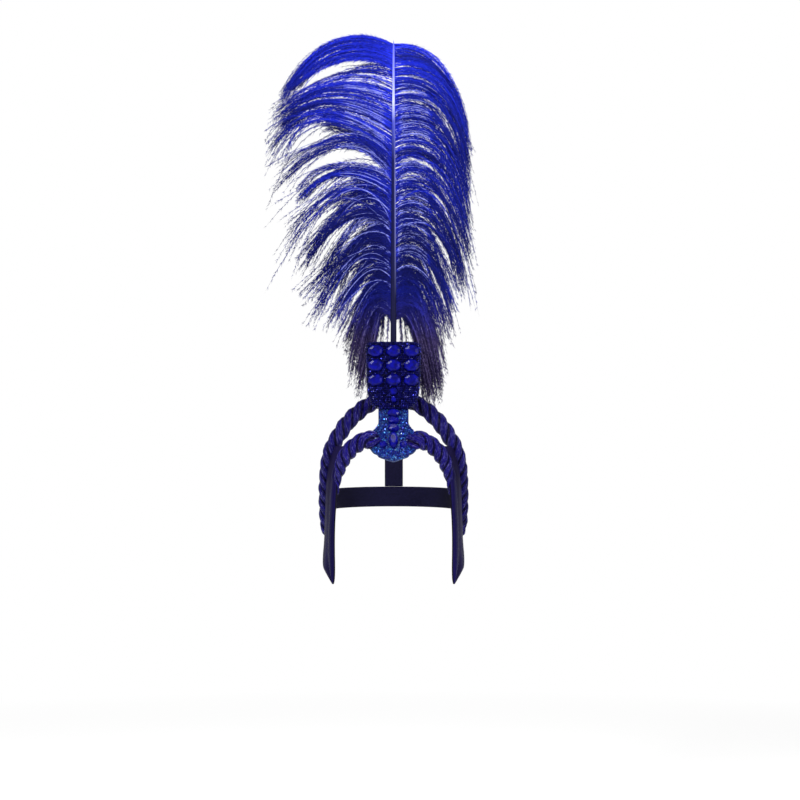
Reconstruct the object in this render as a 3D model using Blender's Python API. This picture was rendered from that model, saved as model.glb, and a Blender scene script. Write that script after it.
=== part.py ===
"""Showgirl feather headdress: twisted cloth ropes, satin lappets, a jewelled neck and holder, one plume.

Metres, +Z up. The wearer faces -Y and +X is at the left hand of the wearer. The origin is the
point where the crown of the head sits. Pieces are placed on a plain head form: an ellipse in
plan that closes in towards the crown.
"""
import math

import bmesh
import bpy
from mathutils import Matrix, Vector

# The head form that the pieces are worn on
HEAD_HALF_BREADTH = 0.066
HEAD_HALF_LENGTH = 0.092
HEAD_CROWN_RISE = 0.078
HEAD_ROUNDNESS = 3.0
LINING_GAP = 0.0025
JOIN_GAP = 0.0004

# Ropes
BROW_ROPE_RADIUS = 0.0098
CROWN_ROPE_RADIUS = 0.0086
BROW_STRAND_PITCH = 0.0115
CROWN_STRAND_PITCH = 0.0145
ROPE_STRANDS = 3
ROPE_LOBE_DEPTH = 0.17
ROPE_SEAT = 0.0014

# Plume holder
HOLDER_WIDTH = 0.0565
HOLDER_DEPTH = 0.027
HOLDER_FOOT_WIDTH = 0.0325
HOLDER_FOOT_DEPTH = 0.014
HOLDER_BOTTOM = 0.0275
HOLDER_HEIGHT = 0.068
HOLDER_FRONT = -0.052
HOLDER_CORNER_RADIUS = 0.0042
QUILL_BORE_DEPTH = 0.048

# Neck piece
NECK_WIDTH = 0.0315
NECK_FLARE_WIDTH = 0.050
NECK_THICKNESS = 0.0085
NECK_EDGE_SET_BACK = 0.0085
NECK_SIDES = 24

# Stones
HOLDER_STONE_WIDTH = 0.0152
HOLDER_STONE_HEIGHT = 0.0122
HOLDER_STONE_PITCH_X = 0.0187
HOLDER_STONE_PITCH_Z = 0.0152
HOLDER_STONE_TOP_MARGIN = 0.0073
BASE_STONE_WIDTH = 0.0082
NECK_STONE_WIDTH = 0.0130
NECK_STONE_HEIGHT = 0.0094
PEAK_STONE_WIDTH = 0.0100
PEAK_STONE_HEIGHT = 0.0235
PEAK_SIDE_STONE_WIDTH = 0.0078
STONE_THICKNESS = 0.0042
RHINESTONE_WIDTH = 0.0038
RHINESTONE_PITCH = 0.0072

# Side panels
PANEL_THICKNESS = 0.0068
PANEL_TIP_DROP = 0.156

# Back band and crown strap
BAND_WIDTH = 0.022
BAND_THICKNESS = 0.002
BAND_HEIGHT = -0.070
STRAP_WIDTH = 0.020
STRAP_STEP = 0.009

# Plume: lengths, then how a barb bends, as shares of its reach and drop
PLUME_FOOT = 0.050
VANE_BOTTOM = 0.112
PLUME_TOP = 0.4145
REACH_LEFT = 0.126
REACH_RIGHT = 0.083
LOCK_DROP = 0.105
LOCK_SET_BACK = 0.040
LOCK_THICKNESS = 0.0075
QUILL_RADIUS = 0.0032
SHAFT_TIP_RADIUS = 0.0013
SHAFT_LEAN = 0.022
SHAFT_BOW = 0.006
KNEE_DROP_LEFT = 0.30
KNEE_DROP_RIGHT = 0.12
SHOULDER_OUT = 0.36
KNEE_OUT_LEFT = 0.75
KNEE_OUT_RIGHT = 0.86
SET_BACK_BEND = 1.6
LOW_BEND_LOSS = 0.85
LOW_BARBS = 0.3
LOCKS_PER_SIDE = 12
BACK_LOCKS = 4

# Height of the vane as a share, then reach, lift and drop of the barbs that leave the shaft there
# on each side, as shares of the reach of that side and of LOCK_DROP, then set-back as a share.
BARBS = (
    ("height", "left_reach", "left_lift", "left_drop", "right_reach", "right_lift", "right_drop", "back"),
    (0.00, 0.36, -0.06, 0.60, 0.58, -0.05, 0.66, 0.72),
    (0.12, 0.52, -0.08, 0.80, 0.72, 0.00, 0.92, 0.80),
    (0.25, 0.78, -0.08, 0.62, 0.84, 0.05, 0.90, 0.85),
    (0.40, 0.84, -0.04, 0.76, 0.93, 0.09, 0.86, 0.90),
    (0.55, 0.88, 0.03, 0.54, 0.95, 0.10, 0.78, 0.95),
    (0.75, 0.97, 0.06, 0.50, 0.96, 0.10, 0.72, 1.00),
    (0.93, 1.00, 0.14, 0.50, 0.94, 0.09, 0.72, 0.95),
    (1.00, 0.90, 0.16, 0.46, 0.88, 0.04, 0.70, 0.80),
)

# Front view of the crown rope from behind the holder, over the window and down the side of the
# head: shares of the head's half breadth, half length and crown rise, then of the rope's radius.
CROWN_ROPE = (
    ("across", "along", "up", "thickness"),
    (0.20, -0.17, 0.465, 1.00),
    (0.37, -0.20, 0.420, 1.00),
    (0.56, -0.24, 0.312, 1.02),
    (0.74, -0.29, 0.160, 1.02),
    (0.88, -0.32, -0.010, 1.00),
    (0.995, -0.30, -0.195, 0.96),
    (1.062, -0.235, -0.415, 0.90),
    (1.093, -0.150, -0.670, 0.85),
    (1.100, -0.080, -0.940, 0.83),
    (1.088, -0.035, -1.200, 0.80),
    (1.065, -0.020, -1.390, 0.62),
)

# The brow rope from the neck piece to the temple: degrees round the head from the front, height as
# a share of the crown rise, and thickness as a share of the rope's radius.
BROW_ROPE = (
    ("azimuth", "up", "thickness"),
    (35.0, -0.098, 0.95),
    (41.5, -0.165, 0.91),
    (46.5, -0.262, 0.86),
    (50.3, -0.375, 0.76),
    (53.0, -0.490, 0.58),
)

# The side panel from its top at the temple to its tip: height as a share of PANEL_TIP_DROP, the
# front edge in degrees, share of the width back to the crown rope, and fullness.
SIDE_PANEL = (
    ("down", "front", "width", "fullness"),
    (0.075, 54.0, 1.00, 0.50),
    (0.130, 54.0, 1.00, 0.70),
    (0.190, 54.0, 1.00, 0.80),
    (0.250, 54.0, 1.00, 0.85),
    (0.285, 56.0, 1.00, 0.95),
    (0.355, 57.0, 1.00, 1.00),
    (0.460, 58.6, 1.00, 1.00),
    (0.570, 61.0, 1.00, 1.00),
    (0.680, 62.2, 1.00, 1.00),
    (0.790, 62.2, 0.97, 1.00),
    (0.860, 61.4, 0.78, 0.98),
    (0.910, 60.8, 0.52, 0.94),
    (0.955, 60.6, 0.28, 0.82),
    (0.985, 60.9, 0.13, 0.58),
    (1.000, 61.4, 0.06, 0.30),
)

# The neck piece from the widow's peak up to the holder's foot: how far forward and up its middle
# line lies, as shares of the head's half length and crown rise, its half width between the neck
# (0) and the full flare (1), its thickness and how far its edges are set back.
NECK = (
    ("along", "up", "flare", "narrow", "thickness", "set_back"),
    (-0.975, -0.338, 0.00, 0.14, 0.50, 0.00),
    (-0.963, -0.310, 0.00, 0.50, 0.80, 0.20),
    (-0.940, -0.268, 0.00, 0.94, 0.95, 0.50),
    (-0.910, -0.225, 0.46, 1.00, 1.00, 0.85),
    (-0.875, -0.178, 0.93, 1.00, 1.00, 1.00),
    (-0.805, -0.100, 1.00, 1.00, 1.00, 1.00),
    (-0.735, -0.025, 1.00, 1.00, 1.00, 0.95),
    (-0.680, 0.040, 0.96, 1.00, 1.00, 0.90),
    (-0.648, 0.080, 0.72, 1.00, 1.00, 0.80),
    (-0.620, 0.115, 0.25, 1.00, 1.00, 0.50),
    (-0.594, 0.152, 0.03, 1.00, 1.00, 0.20),
    (-0.549, 0.220, 0.00, 1.00, 1.00, 0.05),
)


def columns(table):
    """The rows of a table as dictionaries named by its first row."""
    return [dict(zip(table[0], row)) for row in table[1:]]


def clear_scene():
    """Remove what a new file holds."""
    for item in list(bpy.data.objects):
        bpy.data.objects.remove(item)


def collection(name):
    """A collection linked to the scene."""
    group = bpy.data.collections.new(name)
    bpy.context.scene.collection.children.link(group)
    return group


def finish(name, color, roughness, metallic=0.0):
    """A Principled material."""
    material = bpy.data.materials.new(name)
    material.use_nodes = True
    shader = material.node_tree.nodes["Principled BSDF"]
    shader.inputs["Base Color"].default_value = (*color, 1.0)
    shader.inputs["Roughness"].default_value = roughness
    shader.inputs["Metallic"].default_value = metallic
    return material


def on_head(azimuth, height, standoff):
    """Point at degrees from the front, at a height, that far off the head form."""
    reach = HEAD_CROWN_RISE + standoff
    rise = min(max(height + HEAD_CROWN_RISE, 0.0) / reach, 1.0)
    closing = (1.0 - rise ** HEAD_ROUNDNESS) ** (1.0 / HEAD_ROUNDNESS)
    turn = math.radians(azimuth)
    return Vector((
        math.sin(turn) * (HEAD_HALF_BREADTH + standoff) * closing,
        -math.cos(turn) * (HEAD_HALF_LENGTH + standoff) * closing,
        height,
    ))


def head_top(along, standoff):
    """Height of the head form's middle line at a place along Y."""
    reach = abs(along) / (HEAD_HALF_LENGTH + standoff)
    closing = (1.0 - reach ** HEAD_ROUNDNESS) ** (1.0 / HEAD_ROUNDNESS)
    return (HEAD_CROWN_RISE + standoff) * closing - HEAD_CROWN_RISE


def blend(rows, key, at, value):
    """Read one column of a table by another with straight steps between rows."""
    if at <= rows[0][key]:
        return rows[0][value]
    for before, after in zip(rows, rows[1:]):
        if at <= after[key]:
            share = (at - before[key]) / (after[key] - before[key])
            return before[value] + share * (after[value] - before[value])
    return rows[-1][value]


def catmull(a, b, c, d, share):
    """Smooth step from b to c, for numbers and vectors."""
    return 0.5 * (
        2 * b + (c - a) * share
        + (2 * a - 5 * b + 4 * c - d) * share ** 2
        + (3 * b - a - 3 * c + d) * share ** 3
    )


def smooth_path(places, widths, step):
    """Even points along a smooth curve through the places, with the widths carried along."""
    places = [2 * places[0] - places[1], *places, 2 * places[-1] - places[-2]]
    widths = [widths[0], *widths, widths[-1]]
    fine = []
    for i in range(1, len(places) - 2):
        for part in range(24):
            share = part / 24
            fine.append((catmull(*places[i - 1:i + 3], share), catmull(*widths[i - 1:i + 3], share)))
    fine.append((places[-2], widths[-2]))
    travel = [0.0]
    for (before, _), (after, _) in zip(fine, fine[1:]):
        travel.append(travel[-1] + (after - before).length)
    count = max(2, round(travel[-1] / step))
    points, radii, passed = [], [], 0
    for k in range(count + 1):
        wanted = travel[-1] * k / count
        while passed < len(travel) - 2 and travel[passed + 1] < wanted:
            passed += 1
        share = (wanted - travel[passed]) / (travel[passed + 1] - travel[passed])
        (place, width), (next_place, next_width) = fine[passed], fine[passed + 1]
        points.append(place.lerp(next_place, min(share, 1.0)))
        radii.append(width + min(share, 1.0) * (next_width - width))
    return points, radii


def place_object(name, mesh, material, group):
    """An object for a mesh, in a collection."""
    item = bpy.data.objects.new(name, mesh)
    item.data.materials.append(material)
    group.objects.link(item)
    return item


def loft(name, rings, material, group):
    """A closed solid through rings of equally many points, each end closed by one face."""
    form = bmesh.new()
    loops = [[form.verts.new(point) for point in ring] for ring in rings]
    for lower, upper in zip(loops, loops[1:]):
        for i in range(len(lower)):
            j = (i + 1) % len(lower)
            form.faces.new((lower[i], lower[j], upper[j], upper[i]))
    form.faces.new(loops[0])
    form.faces.new(loops[-1])
    bmesh.ops.recalc_face_normals(form, faces=form.faces)
    if form.calc_volume(signed=True) < 0:
        bmesh.ops.reverse_faces(form, faces=form.faces)
    mesh = bpy.data.meshes.new(name)
    form.to_mesh(mesh)
    form.free()
    mesh.shade_smooth()
    mesh.set_sharp_from_angle(angle=math.radians(50))
    return place_object(name, mesh, material, group)


def strand_profile(cutters):
    """The lobed cross-section of a twisted rope, one metre in radius, scaled by each point."""
    curve = bpy.data.curves.new("strand_profile", "CURVE")
    curve.dimensions = "2D"
    spline = curve.splines.new("POLY")
    sides = 4 * ROPE_STRANDS
    spline.points.add(sides - 1)
    for i in range(sides):
        turn = -math.tau * i / sides
        reach = 1.0 - ROPE_LOBE_DEPTH * (1.0 - math.cos(ROPE_STRANDS * turn)) / 2
        spline.points[i].co = (reach * math.cos(turn), reach * math.sin(turn), 0.0, 1.0)
    spline.use_cyclic_u = True
    guide = bpy.data.objects.new("strand_profile", curve)
    guide.hide_render = True
    guide.display_type = "WIRE"
    cutters.objects.link(guide)
    return guide


def twisted_rope(name, places, radii, pitch, hand, profile, material, group):
    """A rope of three strands along a path: a curve that sweeps the profile as it turns."""
    step = pitch / 4
    points, widths = smooth_path(places, radii, step)
    curve = bpy.data.curves.new(name, "CURVE")
    curve.dimensions = "3D"
    curve.bevel_mode = "OBJECT"
    curve.bevel_object = profile
    curve.use_fill_caps = True
    curve.twist_mode = "MINIMUM"
    spline = curve.splines.new("POLY")
    spline.points.add(len(points) - 1)
    for i, (place, width) in enumerate(zip(points, widths)):
        spline.points[i].co = (*place, 1.0)
        spline.points[i].radius = width
        spline.points[i].tilt = hand * math.tau * i / (4 * ROPE_STRANDS)
    curve.materials.append(material)
    item = bpy.data.objects.new(name, curve)
    group.objects.link(item)
    return item


def crown_rope_places(side):
    """Middle line of a crown rope, starting against the other one behind the holder."""
    behind = HOLDER_FRONT + HOLDER_DEPTH + CROWN_ROPE_RADIUS - ROPE_SEAT
    rows = columns(CROWN_ROPE)
    start = Vector((side * JOIN_GAP / 2, behind, HEAD_CROWN_RISE * rows[0]["up"]))
    places = [start, start + Vector((side * CROWN_ROPE_RADIUS * 0.6, 0, 0))]
    radii = [CROWN_ROPE_RADIUS, CROWN_ROPE_RADIUS]
    for row in rows:
        forward = max(0.0, 1.0 - row["across"] / 0.56)
        along = HEAD_HALF_LENGTH * row["along"]
        places.append(Vector((
            side * HEAD_HALF_BREADTH * row["across"],
            along + (behind - along) * forward,
            HEAD_CROWN_RISE * row["up"],
        )))
        radii.append(CROWN_ROPE_RADIUS * row["thickness"])
    return places, radii


def brow_rope_places(side):
    """Middle line of a brow rope, starting at the edge of the neck piece."""
    rows = columns(BROW_ROPE)
    height = HEAD_CROWN_RISE * -0.055
    off = BROW_ROPE_RADIUS + LINING_GAP / 2
    reach = on_head(90.0, height, off).x
    start = NECK_FLARE_WIDTH / 2 + 2 * JOIN_GAP
    azimuth = math.degrees(math.asin(start / reach))
    places = [on_head(side * azimuth, height, off)]
    places.append(places[0] + Vector((side * BROW_ROPE_RADIUS * 0.3, 0, 0)))
    radii = [BROW_ROPE_RADIUS, BROW_ROPE_RADIUS]
    for row in rows:
        radius = BROW_ROPE_RADIUS * row["thickness"]
        places.append(on_head(side * row["azimuth"], HEAD_CROWN_RISE * row["up"], radius + LINING_GAP / 2))
        radii.append(radius)
    return places, radii


def neck_sections():
    """Middle point, facing, half width, half thickness and set-back of each section of the neck."""
    rows = columns(NECK)
    middles = [Vector((0.0, HEAD_HALF_LENGTH * r["along"], HEAD_CROWN_RISE * r["up"])) for r in rows]
    foot = Vector((0.0, HOLDER_FRONT + HOLDER_FOOT_DEPTH / 2, HOLDER_BOTTOM - JOIN_GAP))
    middles.append(foot)
    rows.append(dict(rows[-1], set_back=0.0))
    sections = []
    for i, (middle, row) in enumerate(zip(middles, rows)):
        along = (middles[min(i + 1, len(middles) - 1)] - middles[max(i - 1, 0)]).normalized()
        if i == len(middles) - 1:
            along = Vector((0, 0, 1))
        width = NECK_WIDTH * row["narrow"] + (NECK_FLARE_WIDTH - NECK_WIDTH) * row["flare"]
        sections.append({
            "middle": middle,
            "facing": Vector((0, along.z, -along.y)) * -1.0,
            "half_width": width / 2,
            "half_thickness": NECK_THICKNESS * row["thickness"] / 2,
            "set_back": NECK_EDGE_SET_BACK * row["set_back"],
        })
    return sections


def neck_ring(section):
    """Flat-fronted rounded outline of one neck section, its edges set back round the head."""
    ring = []
    for i in range(NECK_SIDES):
        turn = math.tau * i / NECK_SIDES
        across = math.copysign(abs(math.cos(turn)) ** 0.62, math.cos(turn))
        outward = math.copysign(abs(math.sin(turn)) ** 0.62, math.sin(turn))
        back = section["set_back"] * across ** 2 * (section["half_width"] / (NECK_FLARE_WIDTH / 2)) ** 2
        ring.append(
            section["middle"] + Vector((across * section["half_width"], 0, 0))
            + section["facing"] * (outward * section["half_thickness"] - back)
        )
    return ring


def neck_surface(height, across):
    """Frame on the front of the neck piece: X across, Y up its slope, Z outwards."""
    sections = neck_sections()
    for lower, upper in zip(sections, sections[1:]):
        if height <= upper["middle"].z:
            break
    share = (height - lower["middle"].z) / (upper["middle"].z - lower["middle"].z)
    middle = lower["middle"].lerp(upper["middle"], share)
    facing = lower["facing"].lerp(upper["facing"], share).normalized()
    mix = {key: lower[key] + share * (upper[key] - lower[key])
           for key in ("half_width", "half_thickness", "set_back")}
    back = mix["set_back"] * (across / (NECK_FLARE_WIDTH / 2)) ** 2
    slope = 2 * mix["set_back"] * across / (NECK_FLARE_WIDTH / 2) ** 2
    x_axis = (Vector((1, 0, 0)) - facing * slope).normalized()
    out = (facing + Vector((1, 0, 0)) * slope).normalized()
    y_axis = out.cross(x_axis)
    place = middle + Vector((across, 0, 0)) + facing * (mix["half_thickness"] - back)
    frame = Matrix((x_axis, y_axis, out)).transposed().to_4x4()
    frame.translation = place
    return frame, mix["half_width"]


def neck_stone_places():
    """Name, place across, height and outline of the neck's own stones, from the holder downwards."""
    places = []
    height = HOLDER_BOTTOM - NECK_STONE_HEIGHT * 0.70
    for number in range(3):
        places.append((f"neck_stone_{number + 1}", 0.0, height, oval(NECK_STONE_WIDTH, NECK_STONE_HEIGHT)))
        height -= (NECK_STONE_HEIGHT + STONE_THICKNESS * 0.36) * slope_rise(height - NECK_STONE_HEIGHT / 2)
    height += (NECK_STONE_HEIGHT - PEAK_STONE_HEIGHT) / 2 * slope_rise(height)
    places.append(("peak_stone", 0.0, height, marquise(PEAK_STONE_WIDTH, PEAK_STONE_HEIGHT)))
    height -= PEAK_STONE_HEIGHT * 0.15
    across = PEAK_STONE_WIDTH / 2 + PEAK_SIDE_STONE_WIDTH * 0.66
    round_outline = oval(PEAK_SIDE_STONE_WIDTH, PEAK_SIDE_STONE_WIDTH)
    places.append(("peak_side_stone_left", -across, height, round_outline))
    places.append(("peak_side_stone_right", across, height, round_outline))
    return places


def slope_rise(height):
    """How far the front of the neck piece rises for each metre along it, at a height."""
    return neck_surface(height, 0.0)[0].to_3x3()[2][1]


def octagon(width, height):
    """Eight corners of an oblong with cut corners."""
    return [(width / 2 * math.cos(a) / math.cos(math.pi / 8), height / 2 * math.sin(a) / math.cos(math.pi / 8))
            for a in (math.tau * (i + 0.5) / 8 for i in range(8))]


def oval(width, height, sides=10):
    """Corners of a round or oval stone."""
    return [(width / 2 * math.cos(math.tau * i / sides), height / 2 * math.sin(math.tau * i / sides))
            for i in range(sides)]


def marquise(width, height):
    """Ten corners of a stone with a point at the top and at the bottom."""
    corners = []
    for i in range(10):
        turn = math.tau * i / 10 + math.pi / 2
        across = math.cos(turn) * abs(math.cos(turn)) ** 0.25
        corners.append((width / 2 * across, height / 2 * math.sin(turn)))
    return corners


def cut_stone(name, outline, thickness, frame, material, group, table=0.58):
    """A cut stone on a frame: girdle, two rows of crown facets and a table."""
    steps = ((0.0, 1.0), (0.35, 1.0), (0.80, 0.86), (1.0, table))
    rings = [[Vector((x * size, y * size, thickness * up)) for x, y in outline] for up, size in steps]
    stone = loft(name, rings, material, group)
    stone.data.shade_flat()
    stone.matrix_world = frame @ Matrix.Translation((0, 0, JOIN_GAP))
    return stone


def rhinestone(frame, material, group):
    """A small round stone, half sunk in its backing: girdle, crown facets and a table."""
    outline = oval(RHINESTONE_WIDTH, RHINESTONE_WIDTH, 8)
    sunk = RHINESTONE_WIDTH * 0.35
    steps = ((-sunk, 1.0), (sunk * 0.3, 1.0), (sunk, 0.55))
    rings = [[Vector((x * size, y * size, up)) for x, y in outline] for up, size in steps]
    stone = loft("rhinestone", rings, material, group)
    stone.matrix_world = frame
    stone.hide_render = True
    stone.display_type = "WIRE"
    return stone


def holder_ring(height, width, depth):
    """Rounded oblong section of the holder, flat at the front."""
    radius = min(HOLDER_CORNER_RADIUS, width * 0.2, depth * 0.3)
    ring = []
    for corner, (sx, sy) in enumerate(((1, 1), (-1, 1), (-1, -1), (1, -1))):
        for k in range(4):
            turn = math.radians(90 * corner + 30 * k)
            ring.append(Vector((
                sx * (width / 2 - radius) + radius * math.cos(turn),
                HOLDER_FRONT + depth / 2 + sy * (depth / 2 - radius) + radius * math.sin(turn),
                height,
            )))
    return ring


def quill_place(height):
    """Middle line of the plume's shaft: upright in the holder, leaning back a little at the tip."""
    base = HOLDER_FRONT + HOLDER_DEPTH * 0.55
    rise = max(0.0, (height - VANE_BOTTOM) / (PLUME_TOP - VANE_BOTTOM))
    lean = SHAFT_LEAN * rise ** 3 - SHAFT_BOW * math.sin(math.pi * min(rise, 1.0))
    return Vector((0.0, base + lean, height))


def make_holder(material, group, cutters):
    """The padded holder, with a bore for the quill."""
    top = HOLDER_BOTTOM + HOLDER_HEIGHT
    rows = ((0.0, 0.0), (0.05, 0.42), (0.14, 0.66), (0.22, 0.80), (0.42, 0.92), (0.97, 1.0))
    rings = []
    for up, spread in rows:
        width = HOLDER_FOOT_WIDTH + (HOLDER_WIDTH - HOLDER_FOOT_WIDTH) * spread
        depth = HOLDER_FOOT_DEPTH + (HOLDER_DEPTH - HOLDER_FOOT_DEPTH) * min(1.0, spread / 0.8)
        rings.append(holder_ring(HOLDER_BOTTOM + HOLDER_HEIGHT * up, width, depth))
    inset = HOLDER_HEIGHT * 0.03
    rings.append([Vector((p.x * (1 - 2 * inset / HOLDER_WIDTH),
                          p.y + (HOLDER_FRONT + HOLDER_DEPTH / 2 - p.y) * inset / HOLDER_DEPTH, top))
                  for p in rings[-1]])
    holder = loft("plume_holder", rings, material, group)
    bpy.ops.mesh.primitive_cylinder_add(
        vertices=16, radius=QUILL_RADIUS + JOIN_GAP, depth=2 * QUILL_BORE_DEPTH,
        location=(0.0, quill_place(top).y, top))
    bore = bpy.context.object
    bore.name = "quill_bore"
    bore.hide_render = True
    bore.display_type = "WIRE"
    for owner in list(bore.users_collection):
        owner.objects.unlink(bore)
    cutters.objects.link(bore)
    cut = holder.modifiers.new("quill bore", "BOOLEAN")
    cut.operation = "DIFFERENCE"
    cut.solver = "EXACT"
    cut.object = bore
    return holder


def make_neck(material, group, cutters):
    """The neck piece with its field of small stones fused on."""
    sections = neck_sections()
    neck = loft("neck_piece", [neck_ring(section) for section in sections], material, group)
    field = bpy.data.collections.new("rhinestones")
    cutters.children.link(field)
    first = NECK_STONE_WIDTH / 2 + RHINESTONE_WIDTH * 0.75
    spots = {math.copysign(1, across): neck_surface(height, across)[0].translation
             for _, across, height, _ in neck_stone_places() if across}
    height = sections[3]["middle"].z
    row = 0
    while height < HOLDER_BOTTOM - RHINESTONE_PITCH * 0.5:
        for side in (-1, 1):
            across = first + (row % 2) * RHINESTONE_PITCH * 0.35
            while True:
                frame, half_width = neck_surface(height, side * across)
                if across > half_width - RHINESTONE_WIDTH * 0.75:
                    break
                clear = (PEAK_SIDE_STONE_WIDTH + RHINESTONE_WIDTH) * 0.6
                if (frame.translation - spots[side]).length > clear:
                    rhinestone(frame, material, field)
                across += RHINESTONE_PITCH
        height += RHINESTONE_PITCH * slope_rise(height)
        row += 1
    join = neck.modifiers.new("rhinestones", "BOOLEAN")
    join.operation = "UNION"
    join.solver = "EXACT"
    join.operand_type = "COLLECTION"
    join.collection = field
    return neck


def make_stones(material, group):
    """The nine holder stones, the column below them, the neck's column and the peak's cluster."""
    facing = Matrix(((1, 0, 0), (0, 0, -1), (0, 1, 0))).to_4x4()
    top_row = HOLDER_BOTTOM + HOLDER_HEIGHT - HOLDER_STONE_TOP_MARGIN
    for row in range(3):
        for column in range(3):
            frame = facing.copy()
            frame.translation = ((column - 1) * HOLDER_STONE_PITCH_X, HOLDER_FRONT,
                                 top_row - row * HOLDER_STONE_PITCH_Z)
            cut_stone(f"holder_stone_{3 * row + column + 1}", octagon(HOLDER_STONE_WIDTH, HOLDER_STONE_HEIGHT),
                      STONE_THICKNESS, frame, material, group)
    below = top_row - 2 * HOLDER_STONE_PITCH_Z - HOLDER_STONE_HEIGHT / 2
    for number, size in enumerate((1.0, 0.72)):
        width = BASE_STONE_WIDTH * size
        below -= width / 2 + BASE_STONE_WIDTH * 0.22
        frame = facing.copy()
        frame.translation = (0.0, HOLDER_FRONT, below)
        cut_stone(f"base_stone_{number + 1}", oval(width, width), STONE_THICKNESS * size, frame, material, group)
        below -= width / 2
    for name, across, height, outline in neck_stone_places():
        frame, _ = neck_surface(height, across)
        reach = max(y for _, y in outline) * slope_rise(height)
        ends = [neck_surface(height + end * reach, across)[0].translation for end in (-1, 1)]
        hollow = max((frame.inverted() @ end).z for end in ends)
        frame = frame @ Matrix.Translation((0, 0, max(0.0, hollow)))
        cut_stone(name, outline, STONE_THICKNESS, frame, material, group)


def rope_at_height(height):
    """Where the right crown rope is, and how thick, at a height beside the head."""
    places, radii = smooth_path(*crown_rope_places(1), CROWN_STRAND_PITCH / 4)
    for (upper, wide), (lower, narrow) in zip(zip(places, radii), zip(places[1:], radii[1:])):
        if lower.z <= height <= upper.z:
            share = (upper.z - height) / (upper.z - lower.z)
            return upper.lerp(lower, share), wide + share * (narrow - wide)
    return places[-1], radii[-1]


def behind_brow_rope(azimuth, height, off, room):
    """The first degrees round the head, from a given start, where a point clears the brow rope."""
    places, radii = smooth_path(*brow_rope_places(1), BROW_STRAND_PITCH / 4)
    while any((on_head(azimuth, height, off) - place).length < radius + room
              for place, radius in zip(places, radii)):
        azimuth += 0.5
    return azimuth


def panel_rings(side):
    """Sections of a side panel, from behind the brow rope back to the crown rope."""
    middle_off = LINING_GAP + PANEL_THICKNESS / 2
    rings = []
    for row in columns(SIDE_PANEL):
        height = -PANEL_TIP_DROP * row["down"]
        half = PANEL_THICKNESS * row["fullness"] / 2
        rope, radius = rope_at_height(height)
        edge = rope.y - radius - JOIN_GAP
        length = -on_head(0.0, height, middle_off).y
        back = math.degrees(math.acos(max(-0.99, min(0.99, -edge / length))))
        lean = Vector((rope.x - radius * 0.25 - on_head(back, height, middle_off).x, 0, 0))
        lean *= row["width"] ** 4
        front = behind_brow_rope(row["front"], height, middle_off, half * 0.6 + JOIN_GAP)
        back = front + (back - front) * row["width"]
        ring = []
        for face in (1, -1):
            for k in range(8):
                share = k / 7.5 if face > 0 else 1 - k / 7.5
                swell = math.sin(math.pi * share) ** 0.45 if 0 < share < 1 else 0.0
                place = on_head(front + (back - front) * share, height, middle_off + face * half * swell)
                place += lean * share ** 2
                ring.append(Vector((side * place.x, place.y, place.z)))
        rings.append(ring)
    return rings


def make_back_band(material, group):
    """The band round the back of the head, from one crown rope to the other."""
    rope, radius = rope_at_height(BAND_HEIGHT - BAND_WIDTH / 2)
    edge = rope.y + radius - JOIN_GAP
    off = LINING_GAP + BAND_THICKNESS / 2
    start = math.degrees(math.acos(-edge / (HEAD_HALF_LENGTH + off)))
    rings = []
    count = 28
    for i in range(count + 1):
        azimuth = start + (360 - 2 * start) * i / count
        rings.append([on_head(azimuth, BAND_HEIGHT + up * BAND_WIDTH / 2, off + out * BAND_THICKNESS / 2)
                      for up, out in ((-1, -1), (-1, 1), (1, 1), (1, -1))])
    return loft("back_band", rings, material, group)


def make_crown_strap(material, group):
    """The strap from the ropes behind the holder over the crown to the back band."""
    places, radii = crown_rope_places(1)
    rope, radius = places[0], radii[0]
    off = LINING_GAP + BAND_THICKNESS / 2
    head = Vector((0, rope.y + radius * 0.35, rope.z - radius - BAND_THICKNESS / 2))
    line = [head, head + Vector((0, radius * 2.1, -radius * 1.05))]
    for share in (0.30, 0.44, 0.58, 0.70, 0.80, 0.88, 0.945):
        along = HEAD_HALF_LENGTH * share
        line.append(Vector((0, along, head_top(along, off))))
    top = BAND_HEIGHT + BAND_WIDTH / 2 + JOIN_GAP
    line.append(on_head(180.0, top, off))
    points, _ = smooth_path(line, [1.0] * len(line), STRAP_STEP)
    rings = []
    for i, point in enumerate(points):
        along = (points[min(i + 1, len(points) - 1)] - points[max(i - 1, 0)]).normalized()
        if i == len(points) - 1:
            along = Vector((0, 0, -1))
        out = Vector((0, -along.z, along.y)) * BAND_THICKNESS / 2
        side = Vector((STRAP_WIDTH / 2, 0, 0))
        rings.append([point - side - out, point + side - out, point + side + out, point - side + out])
    return loft("crown_strap", rings, material, group)


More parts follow.
